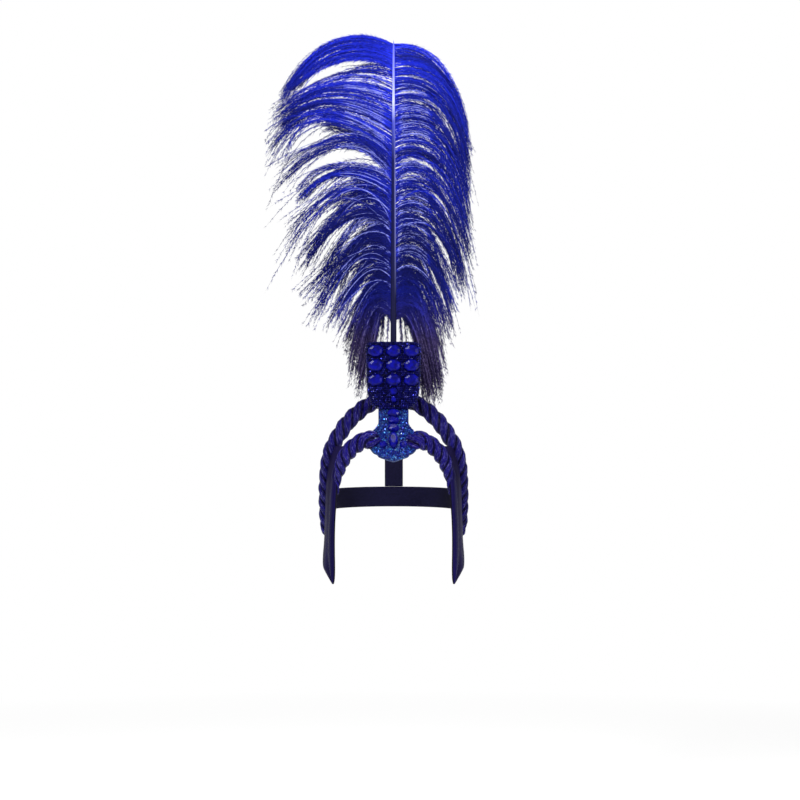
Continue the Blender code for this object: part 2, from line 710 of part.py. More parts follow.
def barb(side, height_share, t):
    """Point along a barb of the vane: side -1 or 1, where it leaves the shaft, and how far along."""
    rows = columns(BARBS)
    if side < 0:
        word, full_reach, knee_drop, knee_out = "left", REACH_LEFT, KNEE_DROP_LEFT, KNEE_OUT_LEFT
    else:
        word, full_reach, knee_drop, knee_out = "right", REACH_RIGHT, KNEE_DROP_RIGHT, KNEE_OUT_RIGHT
    reach = blend(rows, "height", height_share, word + "_reach") * full_reach
    lift = blend(rows, "height", height_share, word + "_lift") * LOCK_DROP
    drop = blend(rows, "height", height_share, word + "_drop") * LOCK_DROP
    back = blend(rows, "height", height_share, "back") * LOCK_SET_BACK
    root = quill_place(VANE_BOTTOM + (PLUME_TOP - VANE_BOTTOM) * height_share)
    knee = lift - knee_drop * drop
    u = 1 - t
    across = (3 * u * u * t * SHOULDER_OUT + 3 * u * t * t * knee_out + t ** 3) * reach
    up = 3 * u * u * t * lift * 1.3 + 3 * u * t * t * knee - t ** 3 * drop
    bend = SET_BACK_BEND - LOW_BEND_LOSS * max(0.0, 1.0 - height_share / LOW_BARBS)
    return root + Vector((side * across, back * t ** bend, up))


def lock_rings(side, height_share):
    """Sections of one lock of a vane, about the barb at its middle."""
    spacing = (PLUME_TOP - VANE_BOTTOM) / LOCKS_PER_SIDE
    rings = []
    for k in range(7):
        t = k / 6
        middle = barb(side, height_share, t)
        run = barb(side, height_share, min(t + 0.02, 1.0)) - barb(side, height_share, max(t - 0.02, 0.0))
        edge = Vector((-run.z, 0, run.x)).normalized() * spacing * 0.47 * (1.0 - 0.74 * t ** 2.8)
        half = LOCK_THICKNESS / 2 * (0.35 + 0.65 * math.sin(math.pi * min(0.97, t + 0.1)) ** 0.7)
        thick = Vector((0, half, 0))
        rings.append([middle + edge, middle + edge * 0.5 - thick, middle - edge * 0.5 - thick,
                      middle - edge, middle - edge * 0.5 + thick, middle + edge * 0.5 + thick])
    return rings


def back_lock_rings(number):
    """Sections of one lock of the skirt, which hangs behind the holder."""
    share = (number + 0.5) / BACK_LOCKS * 2 - 1
    root = quill_place(VANE_BOTTOM + LOCK_DROP * 0.16)
    behind = HOLDER_FRONT + HOLDER_DEPTH + 2 * LOCK_THICKNESS
    tip = Vector((share * HOLDER_WIDTH * 0.48, behind + LOCK_THICKNESS * 0.5,
                  VANE_BOTTOM - LOCK_DROP * (0.56 + 0.06 * (number % 2))))
    rings = []
    for k in range(6):
        t = k / 5
        middle = Vector((
            tip.x * t ** 0.8,
            root.y + (tip.y - root.y) * math.sin(math.pi / 2 * t) ** 0.6,
            root.z + (tip.z - root.z) * t ** 1.35,
        ))
        half_width = HOLDER_WIDTH / BACK_LOCKS * 0.46 * math.sin(math.pi * (0.08 + 0.80 * t)) ** 0.8
        across = Vector((half_width, 0, 0))
        thick = Vector((0, LOCK_THICKNESS * 0.32, 0)) if k else Vector((0, 0, QUILL_RADIUS * 0.5))
        rings.append([middle + across, middle + across * 0.4 - thick, middle - across * 0.4 - thick,
                      middle - across, middle - across * 0.4 + thick, middle + across * 0.4 + thick])
    return rings


def make_plume(material, group, cutters):
    """The shaft with the locks of both vanes and the skirt's back locks fused to it."""
    heights = [PLUME_FOOT, HOLDER_BOTTOM + HOLDER_HEIGHT]
    heights += [VANE_BOTTOM + (PLUME_TOP - VANE_BOTTOM) * k / 8 for k in range(9)]
    rings = []
    for height in heights:
        place = quill_place(height)
        rise = max(0.0, (height - VANE_BOTTOM) / (PLUME_TOP - VANE_BOTTOM))
        radius = QUILL_RADIUS + (SHAFT_TIP_RADIUS - QUILL_RADIUS) * rise
        rings.append([place + Vector((radius * math.cos(a), radius * math.sin(a), 0))
                      for a in (math.tau * (i + 0.5) / 8 for i in range(8))])
    shaft = loft("plume", rings, material, group)
    locks = bpy.data.collections.new("locks")
    cutters.children.link(locks)
    made = []
    for side in (-1, 1):
        for k in range(LOCKS_PER_SIDE):
            made.append(loft("lock", lock_rings(side, (k + 0.5) / LOCKS_PER_SIDE), material, locks))
    for k in range(BACK_LOCKS):
        made.append(loft("lock", back_lock_rings(k), material, locks))
    for lock in made:
        lock.hide_render = True
        lock.display_type = "WIRE"
    join = shaft.modifiers.new("locks", "BOOLEAN")
    join.operation = "UNION"
    join.solver = "EXACT"
    join.operand_type = "COLLECTION"
    join.collection = locks
    return shaft


def build():
    """Put the headdress together."""
    clear_scene()
    parts = collection("showgirl_feather_headdress")
    cutters = collection("cutters")
    plume_blue = finish("plume_blue", (0.020, 0.030, 0.420), 0.6)
    holder_blue = finish("holder_blue", (0.004, 0.005, 0.085), 0.35)
    stone_blue = finish("stone_blue", (0.003, 0.006, 0.300), 0.08)
    rope_blue = finish("rope_blue", (0.022, 0.016, 0.200), 0.42)
    satin = finish("satin_navy", (0.012, 0.009, 0.075), 0.38)
    webbing = finish("webbing_navy", (0.010, 0.009, 0.050), 0.7)

    profile = strand_profile(cutters)
    for side, word in ((-1, "left"), (1, "right")):
        places, radii = brow_rope_places(side)
        twisted_rope(f"brow_rope_{word}", places, radii, BROW_STRAND_PITCH, side, profile, rope_blue, parts)
        places, radii = crown_rope_places(side)
        twisted_rope(f"crown_rope_{word}", places, radii, CROWN_STRAND_PITCH, side, profile, rope_blue, parts)
        loft(f"side_panel_{word}", panel_rings(side), satin, parts)
    make_neck(holder_blue, parts, cutters)
    make_holder(holder_blue, parts, cutters)
    make_stones(stone_blue, parts)
    make_back_band(webbing, parts)
    make_crown_strap(webbing, parts)
    make_plume(plume_blue, parts, cutters)


build()
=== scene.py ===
"""Looks of a showgirl feather headdress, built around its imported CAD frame.

Metres, +Z up. The wearer faces -Y and the origin is where the crown of the head sits.
"""
import math

import bpy
import numpy as np
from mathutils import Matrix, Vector


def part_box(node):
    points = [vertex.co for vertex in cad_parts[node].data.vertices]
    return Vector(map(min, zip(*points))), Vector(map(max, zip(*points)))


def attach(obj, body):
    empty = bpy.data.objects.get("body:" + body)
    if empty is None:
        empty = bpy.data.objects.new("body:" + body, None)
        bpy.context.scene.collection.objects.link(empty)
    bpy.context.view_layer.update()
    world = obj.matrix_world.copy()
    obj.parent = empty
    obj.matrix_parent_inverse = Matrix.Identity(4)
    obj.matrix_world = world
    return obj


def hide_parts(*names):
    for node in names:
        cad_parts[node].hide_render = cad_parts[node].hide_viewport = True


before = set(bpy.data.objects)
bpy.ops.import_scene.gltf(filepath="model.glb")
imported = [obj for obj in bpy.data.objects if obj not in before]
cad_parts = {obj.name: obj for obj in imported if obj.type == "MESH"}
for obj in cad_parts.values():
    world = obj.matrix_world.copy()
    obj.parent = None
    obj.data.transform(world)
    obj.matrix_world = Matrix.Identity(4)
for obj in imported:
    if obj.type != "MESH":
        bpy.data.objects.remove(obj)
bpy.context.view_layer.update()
scene = bpy.context.scene
scene.view_settings.view_transform = "Standard"


# Room: a pale floor that brightens into a white wall, two broad soft lights from the front and one
# from above, and a level camera in front of the neck piece, as far off as a portrait is taken.
PIXEL = 0.00105
PHOTO_SIDE = 800
MIDDLE_PIXEL = 393.5
CROWN_PIXEL = 435.0
CAMERA_DISTANCE = 2.5
PLUME_DEPTH = -0.04
SENSOR = 36.0
FLOOR_HEIGHT = -0.46
FLOOR_SIDE = 14.0
FLOOR_FADE = (0.3, 1.6)
WALL_LIGHT = 0.34

aim = Vector(((PHOTO_SIDE / 2 - MIDDLE_PIXEL) * PIXEL, PLUME_DEPTH, (CROWN_PIXEL - PHOTO_SIDE / 2) * PIXEL))
lens = bpy.data.cameras.new("portrait_lens")
lens.sensor_width = SENSOR
lens.lens = SENSOR * CAMERA_DISTANCE / (PHOTO_SIDE * PIXEL)
lens.clip_end = 30.0
camera = bpy.data.objects.new("portrait_camera", lens)
camera.location = aim - Vector((0, CAMERA_DISTANCE, 0))
camera.rotation_euler = (math.radians(90), 0, 0)
scene.collection.objects.link(camera)
scene.camera = camera


class Socket:
    """A value in a material: arithmetic on it adds Math nodes."""

    def __init__(self, finish, socket):
        self.finish = finish
        self.socket = socket

    def math(self, operation, *values):
        return self.finish.node("ShaderNodeMath", {"operation": operation}, dict(enumerate(values)))

    def __add__(self, other):
        return self.math("ADD", self, other)

    def __mul__(self, other):
        return self.math("MULTIPLY", self, other)


class Finish:
    """A material with a Principled shader, and the ways to add nodes before it."""

    def __init__(self, name, **settings):
        self.material = bpy.data.materials.new(name)
        self.material.use_nodes = True
        self.tree = self.material.node_tree
        self.shader = self.tree.nodes["Principled BSDF"]
        for key, value in settings.items():
            self.shader.inputs[key.replace("_", " ")].default_value = value

    def node(self, kind, settings=None, inputs=None, output=0):
        node = self.tree.nodes.new(kind)
        for key, value in (settings or {}).items():
            if key == "stops":
                ramp = node.color_ramp
                while len(ramp.elements) < len(value):
                    ramp.elements.new(0.5)
                for element, (place, color) in zip(ramp.elements, value):
                    element.position = place
                    element.color = (*color, 1.0)
            else:
                setattr(node, key, value)
        for key, value in (inputs or {}).items():
            if isinstance(value, Socket):
                self.tree.links.new(value.socket, node.inputs[key])
            else:
                node.inputs[key].default_value = value
        return Socket(self, node.outputs[output])

    def feed(self, name, value):
        """Link a value that varies over the surface to the shader."""
        self.tree.links.new(value.socket, self.shader.inputs[name])

    def place(self, scale=(1, 1, 1), turn=(0, 0, 0), output="Object"):
        """Place on the object or its UV map, scaled and turned."""
        where = self.node("ShaderNodeTexCoord", output=output)
        return self.node("ShaderNodeMapping", None, {"Vector": where, "Scale": scale, "Rotation": turn})

    def noise(self, vector, scale, detail=2.0, roughness=0.5):
        return self.node("ShaderNodeTexNoise", None,
                         {"Vector": vector, "Scale": scale, "Detail": detail, "Roughness": roughness})

    def remap(self, value, low, high, to_low=0.0, to_high=1.0):
        """A value stretched from one range to another and kept inside it."""
        return self.node("ShaderNodeMapRange", None, {0: value, 1: low, 2: high, 3: to_low, 4: to_high})

    def mix(self, share, first, second):
        """Blend of two colours."""
        return self.node("ShaderNodeMix", {"data_type": "RGBA"},
                         {"Factor": share, 6: color(first), 7: color(second)}, output=2)

    def bump(self, height, distance, strength=1.0):
        return self.node("ShaderNodeBump", None,
                         {"Height": height, "Distance": distance, "Strength": strength})

    def axis(self, vector, number):
        """One coordinate of a place."""
        return self.node("ShaderNodeSeparateXYZ", None, {"Vector": vector}, output=number)

    def attribute(self, name):
        """A number stored at the mesh's vertices."""
        return self.node("ShaderNodeAttribute", {"attribute_name": name}, output=2)

    def ramp(self, value, *stops):
        """A colour that follows a value from stop to stop."""
        return self.node("ShaderNodeValToRGB", {"stops": stops}, {"Fac": value})

    def bands(self, vector, direction, scale, distortion, detail=2.0):
        """Parallel waves, for ribs and yarns."""
        return self.node("ShaderNodeTexWave", {"wave_type": "BANDS", "bands_direction": direction},
                         {"Vector": vector, "Scale": scale, "Distortion": distortion, "Detail": detail},
                         output=1)


def color(value):
    """A colour with its alpha, or a linked one as it is."""
    return value if isinstance(value, Socket) else (*value, 1.0)


floor_paint = Finish("pale_floor", Roughness=0.9, Specular_IOR_Level=0.0, Emission_Strength=1.0)
spot = floor_paint.place()
grain = floor_paint.noise(spot, 1.5, 3.0)
distance = floor_paint.node("ShaderNodeVectorMath", {"operation": "LENGTH"}, {0: spot}, output=1)
far = floor_paint.remap(distance, *FLOOR_FADE)
paint = floor_paint.mix(grain, (0.86, 0.86, 0.86), (0.90, 0.90, 0.895))
floor_paint.feed("Base Color", floor_paint.mix(far, paint, (0.0, 0.0, 0.0)))
floor_paint.feed("Emission Color", floor_paint.mix(far, (0.0, 0.0, 0.0), (1.0, 1.0, 1.0)))
bpy.ops.object.select_all(action="DESELECT")
bpy.ops.mesh.primitive_plane_add(size=FLOOR_SIDE, location=(0, 0, FLOOR_HEIGHT))
floor = bpy.context.object
bpy.ops.object.transform_apply()
floor.name = "floor"
floor.data.materials.append(floor_paint.material)

world = bpy.data.worlds.new("white_room")
world.use_nodes = True
backdrop = world.node_tree.nodes["Background"]
backdrop.inputs["Color"].default_value = (1.0, 1.0, 1.0, 1.0)
seen = world.node_tree.nodes.new("ShaderNodeLightPath")
strength = world.node_tree.nodes.new("ShaderNodeMapRange")
strength.inputs["To Min"].default_value = WALL_LIGHT
world.node_tree.links.new(seen.outputs["Is Camera Ray"], strength.inputs["Value"])
world.node_tree.links.new(strength.outputs["Result"], backdrop.inputs["Strength"])
scene.world = world

for name, place, size, power in (
    ("soft_front_left", (-1.1, -1.9, 1.3), 0.7, 66.0),
    ("soft_front_right", (1.6, -1.5, 0.6), 0.6, 34.0),
    ("soft_above", (0.1, 0.3, 1.7), 1.0, 30.0),
):
    panel = bpy.data.lights.new(name, "AREA")
    panel.shape = "SQUARE"
    panel.size = size
    panel.energy = power
    lamp = bpy.data.objects.new(name, panel)
    lamp.location = place
    lamp.rotation_euler = (aim - Vector(place)).to_track_quat("-Z", "Y").to_euler()
    scene.collection.objects.link(lamp)


# Ropes: cloth rope of three satin-covered strands. Two run from behind the holder over the windows
# and down the sides of the head, and two shorter, thicker ones edge the brow beside the neck piece.
SIDES = ((-1, "left"), (1, "right"))
HEAD_HALF_BREADTH = 0.066
HEAD_HALF_LENGTH = 0.092
HEAD_CROWN_RISE = 0.078
HEAD_ROUNDNESS = 3.0
LINING_GAP = 0.0025
JOIN_GAP = 0.0004
HOLDER_FRONT = -0.052
HOLDER_DEPTH = 0.027
BROW_ROPE_RADIUS = 0.0098
CROWN_ROPE_RADIUS = 0.0086
BROW_STRAND_PITCH = 0.0115
CROWN_STRAND_PITCH = 0.0145
SEWN_IN = 0.0014
CROWN_ROPE_BEHIND = HOLDER_FRONT + HOLDER_DEPTH + CROWN_ROPE_RADIUS - SEWN_IN
NECK_FLARE_WIDTH = 0.050
STRANDS = 3
CREASE_DEPTH = 0.36
ROPE_STEP = 0.0011
ROPE_SIDES = 54
STRAND_ROUNDNESS = 0.62
FOLD_WAVES = 9
FOLD_DEPTH = 0.040
ROUNDED_END = 0.8
CLOSED_END = 0.985

CROWN_ROPE = (
    ("across", "along", "up", "thickness"),
    (0.20, -0.17, 0.465, 1.00),
    (0.37, -0.20, 0.420, 1.00),
    (0.56, -0.24, 0.312, 1.02),
    (0.74, -0.29, 0.160, 1.02),
    (0.88, -0.32, -0.010, 1.00),
    (0.995, -0.30, -0.195, 0.96),
    (1.062, -0.235, -0.415, 0.90),
    (1.093, -0.150, -0.670, 0.85),
    (1.100, -0.080, -0.940, 0.83),
    (1.088, -0.035, -1.200, 0.80),
    (1.065, -0.020, -1.390, 0.62),
)
BROW_ROPE = (
    ("azimuth", "up", "thickness"),
    (35.0, -0.098, 0.95),
    (41.5, -0.165, 0.91),
    (46.5, -0.262, 0.86),
    (50.3, -0.375, 0.76),
    (53.0, -0.490, 0.58),
    (55.6, -0.570, 0.44),
    (57.6, -0.670, 0.33),
    (59.2, -0.800, 0.24),
)
BROW_START = (
    ("across", "back", "up", "thickness"),
    (0.0085, 0.0035, -0.0120, 0.40),
    (0.0125, 0.0020, -0.0105, 0.58),
    (0.0170, 0.0006, -0.0082, 0.82),
    (0.0215, 0.0000, -0.0060, 0.98),
)


def rows_of(table):
    """The rows of a table as dictionaries named by its first row."""
    return [dict(zip(table[0], row)) for row in table[1:]]


def on_head(azimuth, height, standoff):
    """Point at degrees from the front, at a height, that far off the head's form."""
    rise = min(max(height + HEAD_CROWN_RISE, 0.0) / (HEAD_CROWN_RISE + standoff), 1.0)
    closing = (1.0 - rise ** HEAD_ROUNDNESS) ** (1.0 / HEAD_ROUNDNESS)
    turn = math.radians(azimuth)
    return np.array((math.sin(turn) * (HEAD_HALF_BREADTH + standoff) * closing,
                     -math.cos(turn) * (HEAD_HALF_LENGTH + standoff) * closing, height))


def unit(vectors):
    """Vectors scaled to a length of one."""
    return vectors / np.maximum(np.linalg.norm(vectors, axis=-1, keepdims=True), 1e-9)


def smooth_line(points, step):
    """Even points along a Catmull-Rom curve through points that carry any number of values."""
    points = np.array(points, float)
    points = np.concatenate((2 * points[:1] - points[1:2], points, 2 * points[-1:] - points[-2:-1]))
    share = np.linspace(0, 1, 24, endpoint=False)[:, None]
    fine = []
    for a, b, c, d in zip(points, points[1:], points[2:], points[3:]):
        fine.append(0.5 * (2 * b + (c - a) * share + (2 * a - 5 * b + 4 * c - d) * share ** 2
                           + (3 * b - a - 3 * c + d) * share ** 3))
    fine = np.concatenate((*fine, points[-2:-1]))
    travel = np.concatenate(([0], np.cumsum(np.linalg.norm(np.diff(fine[:, :3], axis=0), axis=1))))
    wanted = np.linspace(0, travel[-1], max(3, round(travel[-1] / step)) + 1)
    return np.stack([np.interp(wanted, travel, column) for column in fine.T], axis=1), wanted


def folded_tube(name, rings, place_on_cloth, finish):
    """A grid folded into a closed tube through rings of points, its UV map in strands and metres."""
    steps, sides = rings.shape[:2]
    bpy.ops.object.select_all(action="DESELECT")
    bpy.ops.mesh.primitive_grid_add(x_subdivisions=sides, y_subdivisions=steps - 1, calc_uvs=True)
    tube = bpy.context.object
    tube.name = tube.data.name = name
    closed = np.concatenate((rings, rings[:, :1]), axis=1).reshape(-1, 3)
    tube.data.vertices.foreach_set("co", closed.astype(np.float32).ravel())
    layer = tube.data.uv_layers.active.data
    uv = np.zeros(len(layer) * 2, np.float32)
    layer.foreach_get("uv", uv)
    uv = uv.reshape(-1, 2) * np.array(place_on_cloth)
    layer.foreach_set("uv", uv.astype(np.float32).ravel())
    bpy.ops.object.mode_set(mode="EDIT")
    bpy.ops.mesh.select_all(action="SELECT")
    bpy.ops.mesh.remove_doubles(threshold=1e-6)
    bpy.ops.mesh.select_all(action="DESELECT")
    bpy.ops.mesh.select_mode(type="EDGE")
    bpy.ops.mesh.select_non_manifold()
    bpy.ops.mesh.edge_face_add()
    bpy.ops.mesh.select_all(action="SELECT")
    bpy.ops.mesh.normals_make_consistent(inside=False)
    bpy.ops.mesh.select_mode(type="VERT")
    bpy.ops.object.mode_set(mode="OBJECT")
    tube.data.shade_smooth()
    tube.data.materials.clear()
    tube.data.materials.append(finish.material)
    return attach(tube, "root")


def rope(name, line, pitch, hand, round_ends, finish, rng):
    """A rope of three creased strands along a line of points with their radii."""
    points, travel = smooth_line(line, ROPE_STEP)
    places, radii = points[:, :3], points[:, 3]
    along = unit(np.gradient(places, axis=0))
    across = [unit(np.cross(along[0], (0.1, 0.2, 1.0)))]
    for direction in along[1:]:
        across.append(unit(across[-1] - direction * (across[-1] @ direction)))
    across = np.array(across)
    other = np.cross(along, across)
    turn = math.tau * np.arange(ROPE_SIDES)[None, :] / ROPE_SIDES
    twist = hand * math.tau / STRANDS * travel[:, None] / pitch
    lobe = np.abs(np.sin(STRANDS * turn / 2)) ** STRAND_ROUNDNESS
    folds = np.zeros((len(travel), ROPE_SIDES))
    for _ in range(FOLD_WAVES):
        waves = rng.integers(2, 6) * STRANDS
        drift = rng.uniform(-1.0, 1.0) / pitch
        start = rng.uniform(0, math.tau, 2)
        swell = 0.5 + 0.5 * np.sin(travel[:, None] * rng.uniform(0.5, 1.4) * math.tau / pitch + start[1])
        folds += np.sin(turn * waves + travel[:, None] * drift * math.tau + start[0]) * swell / 3
    reach = radii[:, None] * (1.0 - CREASE_DEPTH + CREASE_DEPTH * lobe + FOLD_DEPTH * folds * lobe)
    for end, rounded in zip((travel, travel[-1] - travel), round_ends):
        if rounded:
            depth = np.clip(1.0 - end / (ROUNDED_END * radii), 0.0, CLOSED_END)
            reach = reach * np.sqrt(1.0 - depth ** 2)[:, None]
    turn = turn + twist
    spokes = across[:, None] * np.cos(turn)[:, :, None] + other[:, None] * np.sin(turn)[:, :, None]
    rings = places[:, None] + reach[:, :, None] * spokes
    return folded_tube(name, rings, (STRANDS, travel[-1] / pitch), finish), points


def satin_finish(name, dark, light):
    """Satin cloth twisted over cord: drawn into fine folds that run with the strands."""
    finish = Finish(name, Specular_IOR_Level=0.10)
    cloth = finish.place(scale=(9.0, 1.0, 1.0), output="UV")
    folds = finish.noise(cloth, 1.7, 5.0, 0.62)
    slanted = finish.place(scale=(26.0, 2.2, 1.0), turn=(0, 0, 0.12), output="UV")
    creases = finish.noise(slanted, 1.3, 3.0, 0.6)
    threads = finish.noise(finish.place(scale=(150.0, 6.0, 1.0), output="UV"), 1.0, 2.0)
    streak_highlight = finish.remap(creases, 0.58, 0.66)
    strand = finish.axis(finish.place(output="UV"), 0)
    lobe = finish.node("ShaderNodeMath", {"operation": "SINE"}, {0: strand * math.pi})
    # Painted shade: the colour falls to the dark satin in the creases between the strands.
    crease_shade = finish.remap(lobe * lobe, 0.0, 0.30)
    # Painted sheen: the satin is lighter where the fold noise that bumps it rises.
    base = finish.mix(crease_shade, dark, finish.mix(finish.remap(folds, 0.38, 0.64), dark, light))
    # Painted highlight: thin pale violet streaks along the crease noise, kept off the creases.
    finish.feed("Base Color", finish.mix(streak_highlight * crease_shade * 0.8, base, (0.22, 0.20, 0.58)))
    finish.feed("Roughness", finish.remap(creases + threads * 0.4, 0.45, 1.0, 0.40, 0.16))
    relief = folds + creases * 0.7 + threads * 0.12
    finish.feed("Normal", finish.bump(relief, 0.0020, 1.0))
    return finish


crown_satin = satin_finish("crown_rope_satin", (0.0013, 0.0006, 0.018), (0.009, 0.005, 0.185))
brow_satin = satin_finish("brow_rope_satin", (0.0015, 0.0006, 0.024), (0.010, 0.005, 0.230))
rng = np.random.default_rng(3)
for side, word in SIDES:
    start = np.array((0.0002 * side, CROWN_ROPE_BEHIND, HEAD_CROWN_RISE * CROWN_ROPE[1][2]))
    beside = start + (side * CROWN_ROPE_RADIUS * 0.6, 0, 0)
    line = [(*start, CROWN_ROPE_RADIUS), (*beside, CROWN_ROPE_RADIUS)]
    for row in rows_of(CROWN_ROPE):
        forward = max(0.0, 1.0 - row["across"] / 0.56)
        along = HEAD_HALF_LENGTH * row["along"]
        along = along + (CROWN_ROPE_BEHIND - along) * forward
        line.append((side * HEAD_HALF_BREADTH * row["across"], along,
                     HEAD_CROWN_RISE * row["up"], CROWN_ROPE_RADIUS * row["thickness"]))
    crown_rope, crown_line = rope(f"crown_rope_cloth_{word}", line, CROWN_STRAND_PITCH, side,
                                  (False, True), crown_satin, rng)
    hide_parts(f"crown_rope_{word}")

    height = HEAD_CROWN_RISE * -0.055
    off = BROW_ROPE_RADIUS + LINING_GAP / 2
    azimuth = math.degrees(math.asin((NECK_FLARE_WIDTH / 2 + JOIN_GAP) / on_head(90.0, height, off)[0]))
    start = on_head(side * azimuth, height, off)
    line = [(side * row["across"], start[1] + row["back"], row["up"], BROW_ROPE_RADIUS * row["thickness"])
            for row in rows_of(BROW_START)]
    line.append((*start, BROW_ROPE_RADIUS))
    for row in rows_of(BROW_ROPE):
        radius = BROW_ROPE_RADIUS * row["thickness"]
        spot = on_head(side * row["azimuth"], HEAD_CROWN_RISE * row["up"], radius + LINING_GAP / 2)
        line.append((*spot, radius))
    brow_rope, brow_line = rope(f"brow_rope_cloth_{word}", line, BROW_STRAND_PITCH, side,
                                (True, True), brow_satin, rng)
    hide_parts(f"brow_rope_{word}")


# Side panels: padded satin lappets that hang from behind the brow ropes down past the ears. A bluer
# roll follows the edge at the face, sewn off from the pad by a stitched channel.
PANEL_THICKNESS = 0.0068
PANEL_TIP_DROP = 0.156
PANEL_ROWS = 110
PANEL_SIDES = 72
ROLL_SHARE = 0.36
PAD_HEIGHT = 0.80
CHANNEL_DEPTH = 0.45
PUCKER_LENGTH = 0.0062
PUCKER_DEPTH = 0.16
PUCKER_WIDTH = 0.16
SEARCH_STEP = 0.25
LOWER_FLARE = 0.0045
UNDER_ROPE = 0.72
STITCH_LENGTH = 0.0021
STITCH_GAP = 0.0011
STITCH_RADIUS = 0.00028
BROW_END = -0.039
SIDE_PANEL = (
    ("down", "front", "width", "fullness"),
    (0.075, 54.0, 1.00, 0.50),
    (0.130, 54.0, 1.00, 0.70),
    (0.190, 54.0, 1.00, 0.80),
    (0.250, 54.0, 1.00, 0.85),
    (0.285, 55.4, 1.00, 0.95),
    (0.355, 55.6, 1.00, 1.00),
    (0.460, 56.4, 1.00, 1.00),
    (0.570, 58.0, 1.00, 1.00),
    (0.680, 58.8, 1.00, 1.00),
    (0.790, 58.8, 0.97, 1.00),
    (0.860, 58.6, 0.78, 0.98),
    (0.910, 58.8, 0.52, 0.94),
    (0.955, 59.4, 0.28, 0.82),
    (0.985, 60.3, 0.13, 0.58),
    (1.000, 61.0, 0.06, 0.30),
)

panel_satin = Finish("panel_satin", Specular_IOR_Level=0.04)
drape = panel_satin.noise(panel_satin.place(scale=(60, 60, 9)), 1.0, 3.0, 0.55)
slub = panel_satin.noise(panel_satin.place(scale=(900, 900, 70)), 1.0, 2.0, 0.5)
weft = panel_satin.bands(panel_satin.place(), "Z", 520.0, 1.2, 1.0)
# Painted sheen: the pad and the roll are lighter where the drape and slub noise that bumps them rises.
drape_sheen = panel_satin.remap(drape + slub * 0.25, 0.35, 0.85)
roll = panel_satin.axis(panel_satin.place(output="UV"), 0)
front_half = panel_satin.remap(roll, ROLL_SHARE / 2, ROLL_SHARE / 2 + 0.02, 1.0, 0.0)
pad_cloth = panel_satin.mix(drape_sheen, (0.0030, 0.0022, 0.014), (0.009, 0.0065, 0.040))
roll_cloth = panel_satin.mix(drape_sheen, (0.0014, 0.0009, 0.014), (0.005, 0.0028, 0.050))
face_cloth = panel_satin.mix(front_half, pad_cloth, roll_cloth)
# The inner face, towards the head, is near black.
inner_face = panel_satin.remap(roll, 0.5, 0.52)
panel_satin.feed("Base Color", panel_satin.mix(inner_face, face_cloth, (0.003, 0.0025, 0.006)))
panel_satin.feed("Roughness", panel_satin.remap(slub, 0.3, 0.7, 0.33, 0.50))
panel_satin.feed("Normal", panel_satin.bump(drape + slub * 0.16 + weft * 0.05, 0.0011, 0.8))
thread_finish = Finish("navy_thread", Roughness=0.55, Specular_IOR_Level=0.25)
twist = thread_finish.noise(thread_finish.place(), 2200.0, 2.0)
thread_finish.feed("Base Color", thread_finish.mix(twist, (0.006, 0.005, 0.030), (0.030, 0.026, 0.12)))


def panel_profile(share, face):
    """Half thickness of a panel across its width: the roll, the channel and the flatter pad."""
    roll = np.sqrt(np.clip(1.0 - ((share - ROLL_SHARE / 2) / (ROLL_SHARE / 2 + 0.012)) ** 2, 0.0, 1.0))
    past_roll = np.clip((share - ROLL_SHARE + 0.05) / (1.05 - ROLL_SHARE), 0.0, 1.0)
    pad = PAD_HEIGHT * np.sin(math.pi * past_roll) ** 0.5
    outer = np.maximum(np.maximum(roll, pad), (1.0 - CHANNEL_DEPTH) * (share > 0.1) * (share < 0.6))
    inner = np.sin(math.pi * np.clip(share, 0.0, 1.0)) ** 0.45 * PAD_HEIGHT
    return np.where(face > 0, outer, inner)


def stitches(name, points, lift, finish):
    """A line of thread stitches along points, each a short closed strand bent down at its ends."""
    line, travel = smooth_line(points, STITCH_LENGTH + STITCH_GAP)
    step = np.linspace(-0.5, 0.5, 5)
    along = unit(np.gradient(line[:, :3], axis=0))
    paths = line[:, None, :3] + along[:, None] * (step * STITCH_LENGTH)[:, None]
    paths = paths + np.array(lift)[:, None] * (0.35 - 3.0 * step ** 2)[:, None] * STITCH_RADIUS
    widths = np.tile(STITCH_RADIUS * np.array((0.6, 1.0, 1.0, 1.0, 0.0)), (len(paths), 1))
    vertices, faces = strands(paths, widths, 5)
    return strand_object(name, vertices, faces, {}, finish)


def strands(paths, radii, sides=3):
    """Vertices and faces of thin closed strands along paths (strand, step, xyz) that end in a point."""
    count, steps, _ = paths.shape
    along = unit(np.gradient(paths, axis=1))
    across = unit(np.cross(along, np.array((0.21, 1.0, 0.13))))
    other = np.cross(along, across)
    turn = math.tau * np.arange(sides) / sides
    ring = across[:, :-1, None] * np.cos(turn)[:, None] + other[:, :-1, None] * np.sin(turn)[:, None]
    rings = paths[:, :-1, None] + ring * radii[:, :-1, None, None]
    vertices = np.concatenate((rings.reshape(count, -1, 3), paths[:, -1:]), axis=1)
    row = np.arange(steps - 2)[:, None] * sides
    here = row + np.arange(sides)
    following = row + (np.arange(sides) + 1) % sides
    walls = np.stack((here, following, following + sides, here + sides), axis=-1).reshape(-1, 4)
    last = (steps - 2) * sides
    tips = np.array([(last + k, last + (k + 1) % sides, last + sides) for k in range(sides)])
    foot = np.arange(sides)[::-1][None]
    first = np.arange(count)[:, None, None] * (last + sides + 1)
    faces = [(first + part).reshape(-1, part.shape[-1]) for part in (walls, tips, foot)]
    return vertices.reshape(-1, 3), faces


